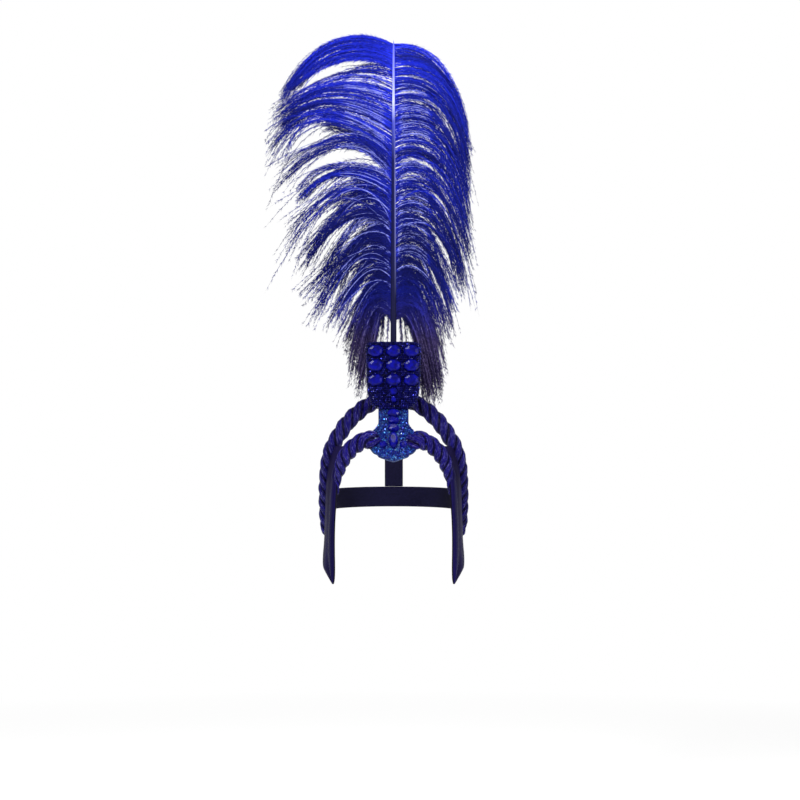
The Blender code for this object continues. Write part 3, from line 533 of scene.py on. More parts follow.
def strand_object(name, vertices, faces, values, finish):
    """One object from joined strands, with its per-vertex values as attributes."""
    mesh = bpy.data.meshes.new(name)
    mesh.from_pydata(vertices.tolist(), [], [face for part in faces for face in part.tolist()])
    for key, numbers in values.items():
        mesh.attributes.new(key, "FLOAT", "POINT").data.foreach_set("value", numbers.astype(np.float32))
    mesh.shade_smooth()
    mesh.materials.append(finish.material)
    item = bpy.data.objects.new(name, mesh)
    scene.collection.objects.link(item)
    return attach(item, "root")


def clear_of_brow_rope(azimuth, height, off, room):
    """The first degrees round the head, from a given start, where a point clears the right brow rope."""
    while True:
        reach = np.linalg.norm(brow_line[:, :3] - on_head(azimuth, height, off), axis=1)
        if np.all((reach > brow_line[:, 3] + room) | (brow_line[:, 2] < BROW_END)):
            return azimuth
        azimuth += SEARCH_STEP


panel_rows, _ = smooth_line([(row["down"], row["front"] / 100, 0, row["width"], row["fullness"])
                             for row in rows_of(SIDE_PANEL)], 0.93 / PANEL_ROWS)
around = np.concatenate((np.linspace(0, 1, PANEL_SIDES // 2, endpoint=False),
                         1 - np.linspace(0, 1, PANEL_SIDES // 2, endpoint=False)))
faces_out = np.repeat((1, -1), PANEL_SIDES // 2)
middle_off = LINING_GAP + PANEL_THICKNESS / 2
profile = panel_profile(around, faces_out)
right_rings, channel = [], []
for down, front, _, width, fullness in panel_rows:
    height = -PANEL_TIP_DROP * down
    half = PANEL_THICKNESS * min(max(fullness, 0.2), 1.0) / 2
    beside = [np.interp(-height, -crown_line[:, 2], crown_line[:, column]) for column in range(4)]
    edge = beside[1] - beside[3] * UNDER_ROPE
    back = math.degrees(math.acos(np.clip(edge / on_head(0.0, height, middle_off)[1], -0.99, 0.99)))
    width = min(max(width, 0.04), 1.0)
    lean = (beside[0] - beside[3] * 0.25 - on_head(back, height, middle_off)[0]) * width ** 4
    front = clear_of_brow_rope(front * 100, height, middle_off, half * 0.6 + JOIN_GAP)
    span = (back - front) * width
    lean += LOWER_FLARE * np.clip((down - 0.5) / 0.3, 0, 1) * np.clip((1.0 - down) / 0.1, 0, 1)
    pucker = PUCKER_DEPTH * np.sin(math.tau * height / PUCKER_LENGTH + 5 * around) ** 2
    pucker = pucker * np.exp(-((around - ROLL_SHARE) / PUCKER_WIDTH) ** 2) * (faces_out > 0)
    puckered = profile * (1 - pucker)
    right_rings.append([
        on_head(front + span * share, height, middle_off + face * half * swell) + (lean * share ** 2, 0, 0)
        for share, face, swell in zip(around, faces_out, puckered)])
    if width > 0.25 and down > 0.16:
        middle = on_head(front + span * ROLL_SHARE, height, middle_off + half * (1.02 - CHANNEL_DEPTH))
        channel.append(middle + (lean * ROLL_SHARE ** 2, 0, 0))
right_rings = np.array(right_rings)
for side, word in SIDES:
    mirror = np.array((side, 1, 1))
    panel = folded_tube(f"side_panel_satin_{word}", right_rings * mirror, (1.0, 1.0), panel_satin)
    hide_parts(f"side_panel_{word}")
    points = np.array(channel) * mirror
    lifts, _ = smooth_line(points, STITCH_LENGTH + STITCH_GAP)
    outward = unit(lifts * np.array((1 / HEAD_HALF_BREADTH ** 2, 1 / HEAD_HALF_LENGTH ** 2, 0)))
    stitches(f"side_panel_stitches_{word}", points, outward, thread_finish)


# Neck piece: the stiff glitter-cloth bridge from the widow's peak over the forehead up to the
# holder, its edges wrapped round the brow. Small foiled rhinestones are glued all over it.
NECK_WIDTH = 0.0315
NECK_THICKNESS = 0.0085
NECK_EDGE_SET_BACK = 0.0085
NECK_ROWS = 84
NECK_SIDES = 64
NECK_SQUARENESS = 0.62
HOLDER_BOTTOM = 0.0275
HOLDER_FOOT_DEPTH = 0.014
NECK = (
    ("along", "up", "flare", "narrow", "thickness", "set_back"),
    (-0.975, -0.338, 0.00, 0.14, 0.50, 0.00),
    (-0.963, -0.310, 0.00, 0.50, 0.80, 0.20),
    (-0.940, -0.268, 0.00, 0.94, 0.95, 0.50),
    (-0.910, -0.225, 0.12, 1.00, 1.00, 0.85),
    (-0.875, -0.178, 0.52, 1.00, 1.00, 1.00),
    (-0.805, -0.100, 0.92, 1.00, 1.00, 1.00),
    (-0.735, -0.025, 1.00, 1.00, 1.00, 0.95),
    (-0.680, 0.040, 0.96, 1.00, 1.00, 0.90),
    (-0.648, 0.080, 0.72, 1.00, 1.00, 0.80),
    (-0.620, 0.115, 0.25, 1.00, 1.00, 0.50),
    (-0.594, 0.152, 0.03, 1.00, 1.00, 0.20),
    (-0.549, 0.220, 0.00, 1.00, 1.00, 0.05),
)
CHIP_WIDTH = 0.0019
CHIP_PITCH = 0.00205
CHIP_SCATTER = 0.26
CHIP_SHIFT = 0.10
CHIP_EDGE = 0.94
CHIP_SIZES = (0.8, 1.12)

neck_points = []
for row in rows_of(NECK):
    half_width = (NECK_WIDTH * row["narrow"] + (NECK_FLARE_WIDTH - NECK_WIDTH) * row["flare"]) / 2
    neck_points.append((0, HEAD_HALF_LENGTH * row["along"], HEAD_CROWN_RISE * row["up"], half_width,
                        NECK_THICKNESS * row["thickness"] / 2, NECK_EDGE_SET_BACK * row["set_back"]))
foot_place = (0, HOLDER_FRONT + HOLDER_FOOT_DEPTH / 2)
neck_points.append((*foot_place, HOLDER_BOTTOM, NECK_WIDTH / 2, NECK_THICKNESS / 2, 0))
neck_points.append((*foot_place, HOLDER_BOTTOM + 0.006, NECK_WIDTH / 2 - 0.0015, NECK_THICKNESS / 2, 0))
neck_rows, neck_travel = smooth_line(neck_points, 0.082 / NECK_ROWS)
rise = unit(np.gradient(neck_rows[:, :3], axis=0))
neck_facing = np.stack((np.zeros(len(rise)), -rise[:, 2], rise[:, 1]), axis=1)


def neck_place(row, across, out):
    """Point on the neck piece by row, share of its half width and share of its half thickness."""
    half_width, half_thick, set_back = neck_rows[row, 3], neck_rows[row, 4], neck_rows[row, 5]
    back = set_back * across ** 2 * (half_width / (NECK_FLARE_WIDTH / 2)) ** 2
    place = neck_rows[row, :3] + np.stack((across * half_width, 0 * across, 0 * across), axis=-1)
    return place + neck_facing[row] * (out * half_thick - back)[..., None]


turn = math.tau * np.arange(NECK_SIDES) / NECK_SIDES
across = np.sign(np.cos(turn)) * np.abs(np.cos(turn)) ** NECK_SQUARENESS
outward = np.sign(np.sin(turn)) * np.abs(np.sin(turn)) ** NECK_SQUARENESS
neck_cloth = Finish("neck_glitter_cloth", Specular_IOR_Level=0.12)
cells = neck_cloth.node("ShaderNodeTexVoronoi", {"feature": "F1"},
                        {"Vector": neck_cloth.place(), "Scale": 1300.0}, output=1)
speck = neck_cloth.node("ShaderNodeSeparateColor", None, {"Color": cells}, output=0)
neck_cloth.feed("Base Color", neck_cloth.ramp(
    speck, (0.0, (0.001, 0.002, 0.018)), (0.55, (0.003, 0.006, 0.10)), (0.80, (0.006, 0.035, 0.18)),
    (1.0, (0.06, 0.20, 0.45))))
neck_cloth.feed("Roughness", neck_cloth.remap(speck, 0.4, 1.0, 0.55, 0.18))
neck_cloth.feed("Normal", neck_cloth.bump(speck, 0.0005, 0.9))
neck_rings = np.array([neck_place(row, across, outward) for row in range(len(neck_rows))])
neck = folded_tube("neck_cloth", neck_rings, (1.0, 1.0), neck_cloth)
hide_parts("neck_piece")


def chips(name, places, normals, sizes, tints, finish, sides=8):
    """Small cut stones as one mesh: a girdle sunk in the backing, crown facets and a table."""
    helper = np.where(np.abs(normals[:, 2:]) < 0.9, np.array((0, 0, 1.0)), np.array((1.0, 0, 0)))
    first = unit(np.cross(helper, normals))
    second = np.cross(normals, first)
    turn = math.tau * (np.arange(sides) + 0.5) / sides
    rings = []
    for up, wide in ((-0.30, 0.9), (0.08, 1.0), (0.34, 0.55)):
        spoke = first[:, None] * np.cos(turn)[:, None] + second[:, None] * np.sin(turn)[:, None]
        rings.append(places[:, None] + (spoke * wide / 2 + normals[:, None] * up) * sizes[:, None, None])
    vertices = np.stack(rings, axis=1).reshape(-1, 3)
    here = np.arange(sides)
    following = (here + 1) % sides
    walls = np.concatenate([np.stack((here, following, following + sides, here + sides), axis=1) + sides * k
                            for k in range(2)])
    first_vertex = np.arange(len(places))[:, None, None] * sides * 3
    faces = [(first_vertex + part).reshape(-1, part.shape[-1])
             for part in (walls, (here + 2 * sides)[None], here[::-1][None])]
    item = strand_object(name, vertices, faces, {"tint": np.repeat(tints, sides * 3)}, finish)
    item.data.shade_flat()
    return item


rng = np.random.default_rng(11)
stone_boxes = [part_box(node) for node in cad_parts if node.startswith(("neck_stone", "peak_"))]
keep_out = [((low + high) / 2, (high - low) / 2) for low, high in stone_boxes]
places, normals = [], []
row_step = CHIP_PITCH / (neck_travel[1] - neck_travel[0])
for line_number in range(int((len(neck_rows) - 10) / row_step)):
    row = int(3 + line_number * row_step)
    half_width = neck_rows[row, 3]
    count = int(2 * half_width / CHIP_PITCH)
    for k in range(count + 1):
        share = (k + 0.5 * (line_number % 2)) / max(count, 1) * 2 - 1
        share = np.clip(share + rng.normal(0, CHIP_SHIFT) / max(count, 1), -CHIP_EDGE, CHIP_EDGE)
        place = neck_place(row, np.array(share), np.array((1 - abs(share) ** 2.6) ** 0.38))
        if any(abs(place[0] - middle.x) < size.x + CHIP_WIDTH * 0.35
               and abs(place[2] - middle.z) < size.z * 0.95 for middle, size in keep_out):
            continue
        lean = share ** 5 * 0.9 + 2 * neck_rows[row, 5] * share / neck_rows[row, 3] * 0.8
        normal = neck_facing[row] + np.array((lean, 0, 0)) + rng.normal(0, CHIP_SCATTER, 3)
        places.append(place)
        normals.append(normal)
places, normals = np.array(places), unit(np.array(normals))
chip_finish = Finish("foiled_rhinestone", Roughness=0.12, Specular_IOR_Level=0.25, Coat_Weight=0.15,
                     Coat_Roughness=0.04)
tint = chip_finish.attribute("tint")
# The blues and teals are the stones' own coating; the near-white end of this ramp is a painted sparkle.
chip_finish.feed("Base Color", chip_finish.ramp(
    tint, (0.0, (0.001, 0.001, 0.035)), (0.35, (0.001, 0.003, 0.18)), (0.55, (0.002, 0.014, 0.30)),
    (0.70, (0.004, 0.070, 0.38)), (0.85, (0.05, 0.24, 0.62)), (1.0, (0.55, 0.70, 0.95))))
chip_finish.feed("Metallic", chip_finish.remap(tint, 0.3, 0.9, 0.35, 0.85))
chips("neck_rhinestones", places, normals, CHIP_WIDTH * rng.uniform(*CHIP_SIZES, len(places)),
      rng.beta(1.5, 2.4, len(places)), chip_finish)


# Loose stones on the ropes: left from the neck outwards, right the same and along the window's edge.
ROPE_STONE_WIDTH = 0.0024
# Tints near 1 paint a white sparkle on those stones.
ROPE_STONES = (
    ("side", "across", "up", "tint"),
    (-1, 0.0184, -0.0031, 0.95), (-1, 0.0247, -0.0074, 1.00), (-1, 0.0225, 0.0010, 0.60),
    (-1, 0.0190, 0.0056, 0.50), (-1, 0.0270, -0.0020, 0.40), (-1, 0.0160, -0.0090, 0.70),
    (-1, 0.0330, -0.0060, 0.30), (-1, 0.0210, -0.0120, 0.45), (-1, 0.0300, 0.0010, 0.55),
    (1, 0.0215, -0.0021, 1.00), (1, 0.0205, -0.0116, 1.00), (1, 0.0142, -0.0084, 0.90),
    (1, 0.0262, -0.0060, 0.45), (1, 0.0245, 0.0022, 0.55), (1, 0.0190, 0.0040, 0.65),
    (1, 0.0310, -0.0030, 0.35), (1, 0.0280, -0.0110, 0.60), (1, 0.0340, -0.0090, 0.30),
)
places, normals, tints = [], [], []
for row in rows_of(ROPE_STONES):
    spot = np.array((row["across"], 0.0, row["up"]))
    gaps = np.linalg.norm((brow_line[:, :3] - spot)[:, [0, 2]], axis=1)
    nearest = int(np.argmin(gaps))
    radius = brow_line[nearest, 3] * (1 - CREASE_DEPTH * 0.45)
    share = min(gaps[nearest] / radius, 0.92)
    normal = (spot - brow_line[nearest, :3]) * (1, 0, 1) / max(gaps[nearest], 1e-6) * share
    normal[1] = -math.sqrt(1 - share ** 2)
    place = brow_line[nearest, :3] + normal * radius
    places.append(place * (row["side"], 1, 1))
    normals.append(normal * (row["side"], 1, 1))
    tints.append(row["tint"])
chips("rope_rhinestones", np.array(places), unit(np.array(normals)), np.full(len(places), ROPE_STONE_WIDTH),
      np.array(tints), chip_finish)


# Plume holder: a stiff pocket covered in dark sequin cloth and rounded towards its foot. It carries
# three rows of three large stones, and the quill stands in a hole in its lid.
HOLDER_WIDTH = 0.0565
HOLDER_FOOT_WIDTH = 0.0325
HOLDER_HEIGHT = 0.068
HOLDER_CORNER_RADIUS = 0.0042
HOLDER_ROWS = 60
HOLDER_SIDES = 96
SEQUIN_WIDTH = 0.0024
SEQUIN_PITCH = 0.0019
OUTLINE_STEPS = 400
SEQUIN_SCATTER = 0.11
SEQUIN_LIFT = 0.22
SEQUIN_STANDOFF = 0.0001
LID_ROW_SPACING = 0.87
RIM = 0.0020
LID_MARGIN = 0.0026
LID_CORNER = 0.0022
QUILL_CLEARANCE = 0.0040
QUILL_PAST_MIDDLE = 0.05
QUILL_DEPTH = HOLDER_FRONT + HOLDER_DEPTH * (0.5 + QUILL_PAST_MIDDLE)
LID_RISE = ((0.0, 0.1, 0.3, 0.6, 0.8, 0.9), (0.0, 0.0006, 0.0013, 0.0015, 0.0009, -0.0006))
HOLDER_SPREAD = ((0.0, 0.05, 0.14, 0.22, 0.42, 0.97, 1.0), (0.0, 0.42, 0.66, 0.80, 0.92, 1.0, 1.0))


def holder_outline(rise, inset, sides):
    """Rounded oblong at a share of the holder's height, drawn in by an inset, flat at the front."""
    spread = np.interp(rise, *HOLDER_SPREAD)
    width = HOLDER_FOOT_WIDTH + (HOLDER_WIDTH - HOLDER_FOOT_WIDTH) * spread
    depth = HOLDER_FOOT_DEPTH + (HOLDER_DEPTH - HOLDER_FOOT_DEPTH) * min(1.0, spread / 0.8)
    radius = min(HOLDER_CORNER_RADIUS, width * 0.2, depth * 0.3)
    turn = math.tau * np.arange(sides) / sides
    x, y = np.cos(turn), np.sin(turn)
    reach = 1.0 / np.maximum(np.abs(x) / (width / 2), np.abs(y) / (depth / 2))
    point = np.stack((x * reach, y * reach), axis=1)
    straight = np.array((width / 2 - radius, depth / 2 - radius))
    core = np.clip(point, -straight, straight)
    off = point - core
    size = np.maximum(np.linalg.norm(off, axis=1, keepdims=True), 1e-9)
    point = core + off / size * np.where(size > 1e-8, radius, 0)
    point = point * (1 - 2 * inset / np.array((width, depth)))
    return np.column_stack((point[:, 0], point[:, 1] + HOLDER_FRONT + depth / 2,
                            np.full(sides, HOLDER_BOTTOM + HOLDER_HEIGHT * rise)))


def rim_inset(rise):
    """How far the holder's outline is drawn in where its sides round over into the lid."""
    return RIM * (1 - math.sqrt(1 - min(max((rise - 0.965) / 0.035, 0.0), 1.0) ** 2))


def lid_ring(share, sides):
    """Outline of the holder's top, drawn in towards the quill by a share and crowned."""
    top = holder_outline(1.0, RIM, sides)
    ring = top + (np.array((0, QUILL_DEPTH, top[0, 2])) - top) * share
    ring[:, 2] += np.interp(share, *LID_RISE)
    return ring


def around_outline(outline, shift):
    """Even places round a closed outline, the steps along it and the step that each place is on."""
    ahead = np.roll(outline, -1, axis=0) - outline
    travel = np.concatenate(([0], np.cumsum(np.linalg.norm(ahead, axis=1))))
    count = int(travel[-1] / SEQUIN_PITCH)
    wanted = (np.arange(count) + 0.5 * shift) / count * travel[-1]
    closed = np.concatenate((outline, outline[:1]))
    spots = np.stack([np.interp(wanted, travel, closed[:, axis]) for axis in range(3)], axis=1)
    return spots, ahead, np.clip(np.searchsorted(travel, wanted) - 1, 0, len(outline) - 1)


sequin_cloth = Finish("sequin_ground", Roughness=0.7, Specular_IOR_Level=0.04)
weave = sequin_cloth.noise(sequin_cloth.place(), 900.0, 3.0)
sequin_cloth.feed("Base Color", sequin_cloth.mix(weave, (0.0008, 0.0008, 0.010), (0.002, 0.002, 0.045)))
sequin_cloth.feed("Normal", sequin_cloth.bump(weave, 0.0004))
rises = np.linspace(0.0, 1.0, HOLDER_ROWS) ** 0.8
rings = [holder_outline(rise, rim_inset(rise), HOLDER_SIDES) for rise in rises]
rings = np.array(rings + [lid_ring(share, HOLDER_SIDES) for share in LID_RISE[0][1:]])
holder = folded_tube("holder_cloth", rings, (1.0, 1.0), sequin_cloth)
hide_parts("plume_holder")

rng = np.random.default_rng(5)
places, normals = [], []
stone_boxes = [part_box(node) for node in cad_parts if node.startswith(("holder_stone", "base_stone"))]
overlap = SEQUIN_WIDTH * 0.2
for line_number in range(int(HOLDER_HEIGHT * 1.01 / SEQUIN_PITCH)):
    height = HOLDER_BOTTOM + HOLDER_HEIGHT * 0.015 + line_number * SEQUIN_PITCH
    rise = (height - HOLDER_BOTTOM) / HOLDER_HEIGHT
    above = min(rise + 0.01, 1.0)
    outline = holder_outline(rise, rim_inset(rise), OUTLINE_STEPS)
    higher = holder_outline(above, rim_inset(above), OUTLINE_STEPS)
    spots, ahead, index = around_outline(outline, line_number % 2)
    out = unit(np.cross(ahead[index], higher[index] - outline[index]))
    for spot, normal in zip(spots, out):
        covered = normal[1] < -0.7 and any(
            low.x + overlap < spot[0] < high.x - overlap and low.z + overlap < spot[2] < high.z - overlap
            for low, high in stone_boxes)
        if not covered:
            places.append(spot)
            normals.append(normal + np.array((0, 0, SEQUIN_LIFT)) + rng.normal(0, SEQUIN_SCATTER, 3))
lid_half = (HOLDER_WIDTH / 2 - LID_MARGIN, HOLDER_DEPTH / 2 - LID_MARGIN)
for line_number, y in enumerate(np.arange(-lid_half[1], lid_half[1], SEQUIN_PITCH * LID_ROW_SPACING)):
    for x in np.arange(-lid_half[0] + line_number % 2 * SEQUIN_PITCH / 2, lid_half[0], SEQUIN_PITCH):
        at_corner = abs(x) > lid_half[0] - LID_CORNER and abs(y) > lid_half[1] - LID_CORNER
        if at_corner or math.hypot(x, y - HOLDER_DEPTH * QUILL_PAST_MIDDLE) < QUILL_CLEARANCE:
            continue
        share = 1 - max(abs(x) / HOLDER_WIDTH, abs(y) / HOLDER_DEPTH) * 2
        places.append(np.array((x, y + HOLDER_FRONT + HOLDER_DEPTH / 2,
                                HOLDER_BOTTOM + HOLDER_HEIGHT + np.interp(share, *LID_RISE))))
        normals.append(np.array((0, 0, 1.0)) + rng.normal(0, SEQUIN_SCATTER, 3))
places, normals = np.array(places), unit(np.array(normals))
sequin_finish = Finish("navy_sequin", Roughness=0.25, Specular_IOR_Level=0.14)
tint = sequin_finish.attribute("tint")
sequin_finish.feed("Base Color", sequin_finish.ramp(
    tint, (0.0, (0.0005, 0.0005, 0.016)), (0.7, (0.002, 0.002, 0.07)), (1.0, (0.016, 0.018, 0.20))))
sequin_finish.feed("Metallic", sequin_finish.remap(tint, 0.5, 1.0, 0.3, 0.8))
chips("holder_sequins", places + normals * SEQUIN_STANDOFF, normals, np.full(len(places), SEQUIN_WIDTH),
      rng.random(len(places)), sequin_finish, 6)


# Large stones: cut royal blue acrylic with a foiled back, each glued to the cloth behind it. Their
# colour is a little uneven from stone to stone and within each.
stone_finish = Finish("royal_stone", Roughness=0.32, Specular_IOR_Level=0.10, Coat_Weight=0.04,
                      Coat_Roughness=0.06)
depth = stone_finish.noise(stone_finish.place(), 260.0, 2.0)
stone_finish.feed("Base Color", stone_finish.mix(stone_finish.remap(depth, 0.35, 0.65),
                                                 (0.0005, 0.0006, 0.060), (0.001, 0.0015, 0.190)))
for node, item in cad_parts.items():
    if "stone" in node:
        item.data.materials.clear()
        item.data.materials.append(stone_finish.material)


# Back band and crown strap: flat elastic webbing that keeps the piece on the head. The band runs
# round the back from rope to rope, and the strap over the crown stops just short of its top edge.
BAND_WIDTH = 0.022
BAND_THICKNESS = 0.002
BAND_HEIGHT = -0.070
STRAP_WIDTH = 0.020
WEBBING_STEP = 0.0012
WEBBING_SIDES = 18
BAND_STEPS = 260
STRAP_SHARES = (0.30, 0.44, 0.58, 0.70, 0.80, 0.88, 0.945)

webbing = Finish("elastic_webbing", Roughness=0.8, Specular_IOR_Level=0.08)
ribs = webbing.bands(webbing.place(output="UV"), "Y", 22.0, 0.6, 1.0)
yarns = webbing.bands(webbing.place(output="UV"), "X", 3.4, 0.4)
fuzz = webbing.noise(webbing.place(), 700.0, 3.0)
webbing.feed("Base Color", webbing.mix(webbing.remap(ribs * 0.6 + fuzz * 0.6, 0.3, 0.9),
                                       (0.003, 0.003, 0.014), (0.014, 0.012, 0.055)))
webbing.feed("Normal", webbing.bump(ribs * 0.7 + yarns * 0.3 + fuzz * 0.3, 0.0005, 0.9))


def webbing_rings(points, wide, outward, width):
    """Sections of a strap along points: flat with thinned edges."""
    share = np.concatenate((np.linspace(-1, 1, WEBBING_SIDES), np.linspace(1, -1, WEBBING_SIDES)))
    face = np.repeat((1, -1), WEBBING_SIDES)
    edge = 1 - np.clip((np.abs(share) - 0.93) / 0.07, 0, 1) ** 2 * 0.75
    return (points[:, None] + wide[:, None] * (share * width / 2)[:, None]
            + outward[:, None] * (face * edge * BAND_THICKNESS / 2)[:, None])


low, low_radius = [np.interp(-(BAND_HEIGHT - BAND_WIDTH / 2), -crown_line[:, 2], crown_line[:, column])
                   for column in (1, 3)]
off = LINING_GAP + BAND_THICKNESS / 2
start = math.degrees(math.acos(-(low + low_radius - JOIN_GAP) / (HEAD_HALF_LENGTH + off)))
azimuths = np.linspace(start, 360 - start, BAND_STEPS)
points = np.array([on_head(azimuth, BAND_HEIGHT, off) for azimuth in azimuths])
outer = np.array([on_head(azimuth, BAND_HEIGHT, off + 0.001) for azimuth in azimuths])
wide = np.tile((0.0, 0.0, 1.0), (len(points), 1))
band = folded_tube("back_band_webbing", webbing_rings(points, wide, unit(outer - points), BAND_WIDTH),
                   (1.0, 14.0), webbing)
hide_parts("back_band")

head = np.array((0, crown_line[0, 1] + CROWN_ROPE_RADIUS * 0.35,
                 crown_line[0, 2] - CROWN_ROPE_RADIUS - BAND_THICKNESS / 2))
line = [head, head + (0, CROWN_ROPE_RADIUS * 2.1, -CROWN_ROPE_RADIUS * 1.05)]
for share in STRAP_SHARES:
    reach = HEAD_HALF_LENGTH * share / (HEAD_HALF_LENGTH + off)
    closing = (1.0 - reach ** HEAD_ROUNDNESS) ** (1.0 / HEAD_ROUNDNESS)
    line.append((0, HEAD_HALF_LENGTH * share, (HEAD_CROWN_RISE + off) * closing - HEAD_CROWN_RISE))
line.append(on_head(180.0, BAND_HEIGHT + BAND_WIDTH / 2 + JOIN_GAP, off))
points, _ = smooth_line(line, WEBBING_STEP)
along = unit(np.gradient(points, axis=0))
out = np.stack((np.zeros(len(along)), -along[:, 2], along[:, 1]), axis=1)
wide = np.tile((1.0, 0.0, 0.0), (len(points), 1))
strap = folded_tube("crown_strap_webbing", webbing_rings(points, wide, out, STRAP_WIDTH),
                    (1.0, 9.0), webbing)
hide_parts("crown_strap")


# Plume: one dyed ostrich feather. Its shaft stands in the holder and carries two vanes of soft
# barbs, each fringed with loose barbules. The barbs cling in locks that arch out and droop.
SHAFT_FOOT = 0.050
VANE_BOTTOM = 0.112
SHAFT_TOP = 0.4145
SHAFT_RADIUS = 0.0032
SHAFT_TIP_RADIUS = 0.0010
TIP_PAST_VANE = 0.004
SHAFT_LEAN = 0.022
SHAFT_BOW = 0.006
REACH = {-1: 0.126, 1: 0.083}
DARK_TIP_START = {-1: 0.72, 1: 0.90}
DARK_TIP_LENGTH = 0.4
DARK_TIP = 0.55
BRIGHTEST_TONE = 0.80
GLINT_TONE = 0.97
GLINT_BAND = (0.02, 0.45)
GLINT_TOP = 0.85
SET_BACK = 0.040
BARB_RADIUS = 0.00040
BARB_STEPS = 13
BARBULE_RADIUS = 0.00021
FULLNESS = ((0.0, 0.15, 0.45, 0.80, 1.0), (1.80, 1.70, 1.50, 1.25, 1.10))
BARBULE_LENGTH = 0.0085
BARBULE_PITCH = 0.0034
BARBULE_DROOP = 0.25
PIECE_LIMIT = 150_000
# How the plume's colour darkens towards the foot of the vane and lightens at its top, by share of its
# height.
TONE_BY_HEIGHT = ((-0.1, 0.08, 0.2, 0.32, 0.45, 0.65, 0.80, 1.0),
                (1.0, 0.70, 0.42, 0.46, 0.70, 0.80, 0.95, 1.28))
GLINT_SHARE = ((0.0, 0.3, 0.6), (0.10, 0.30, 0.40))
FADE_START = 0.150
FADE_LENGTH = 0.050

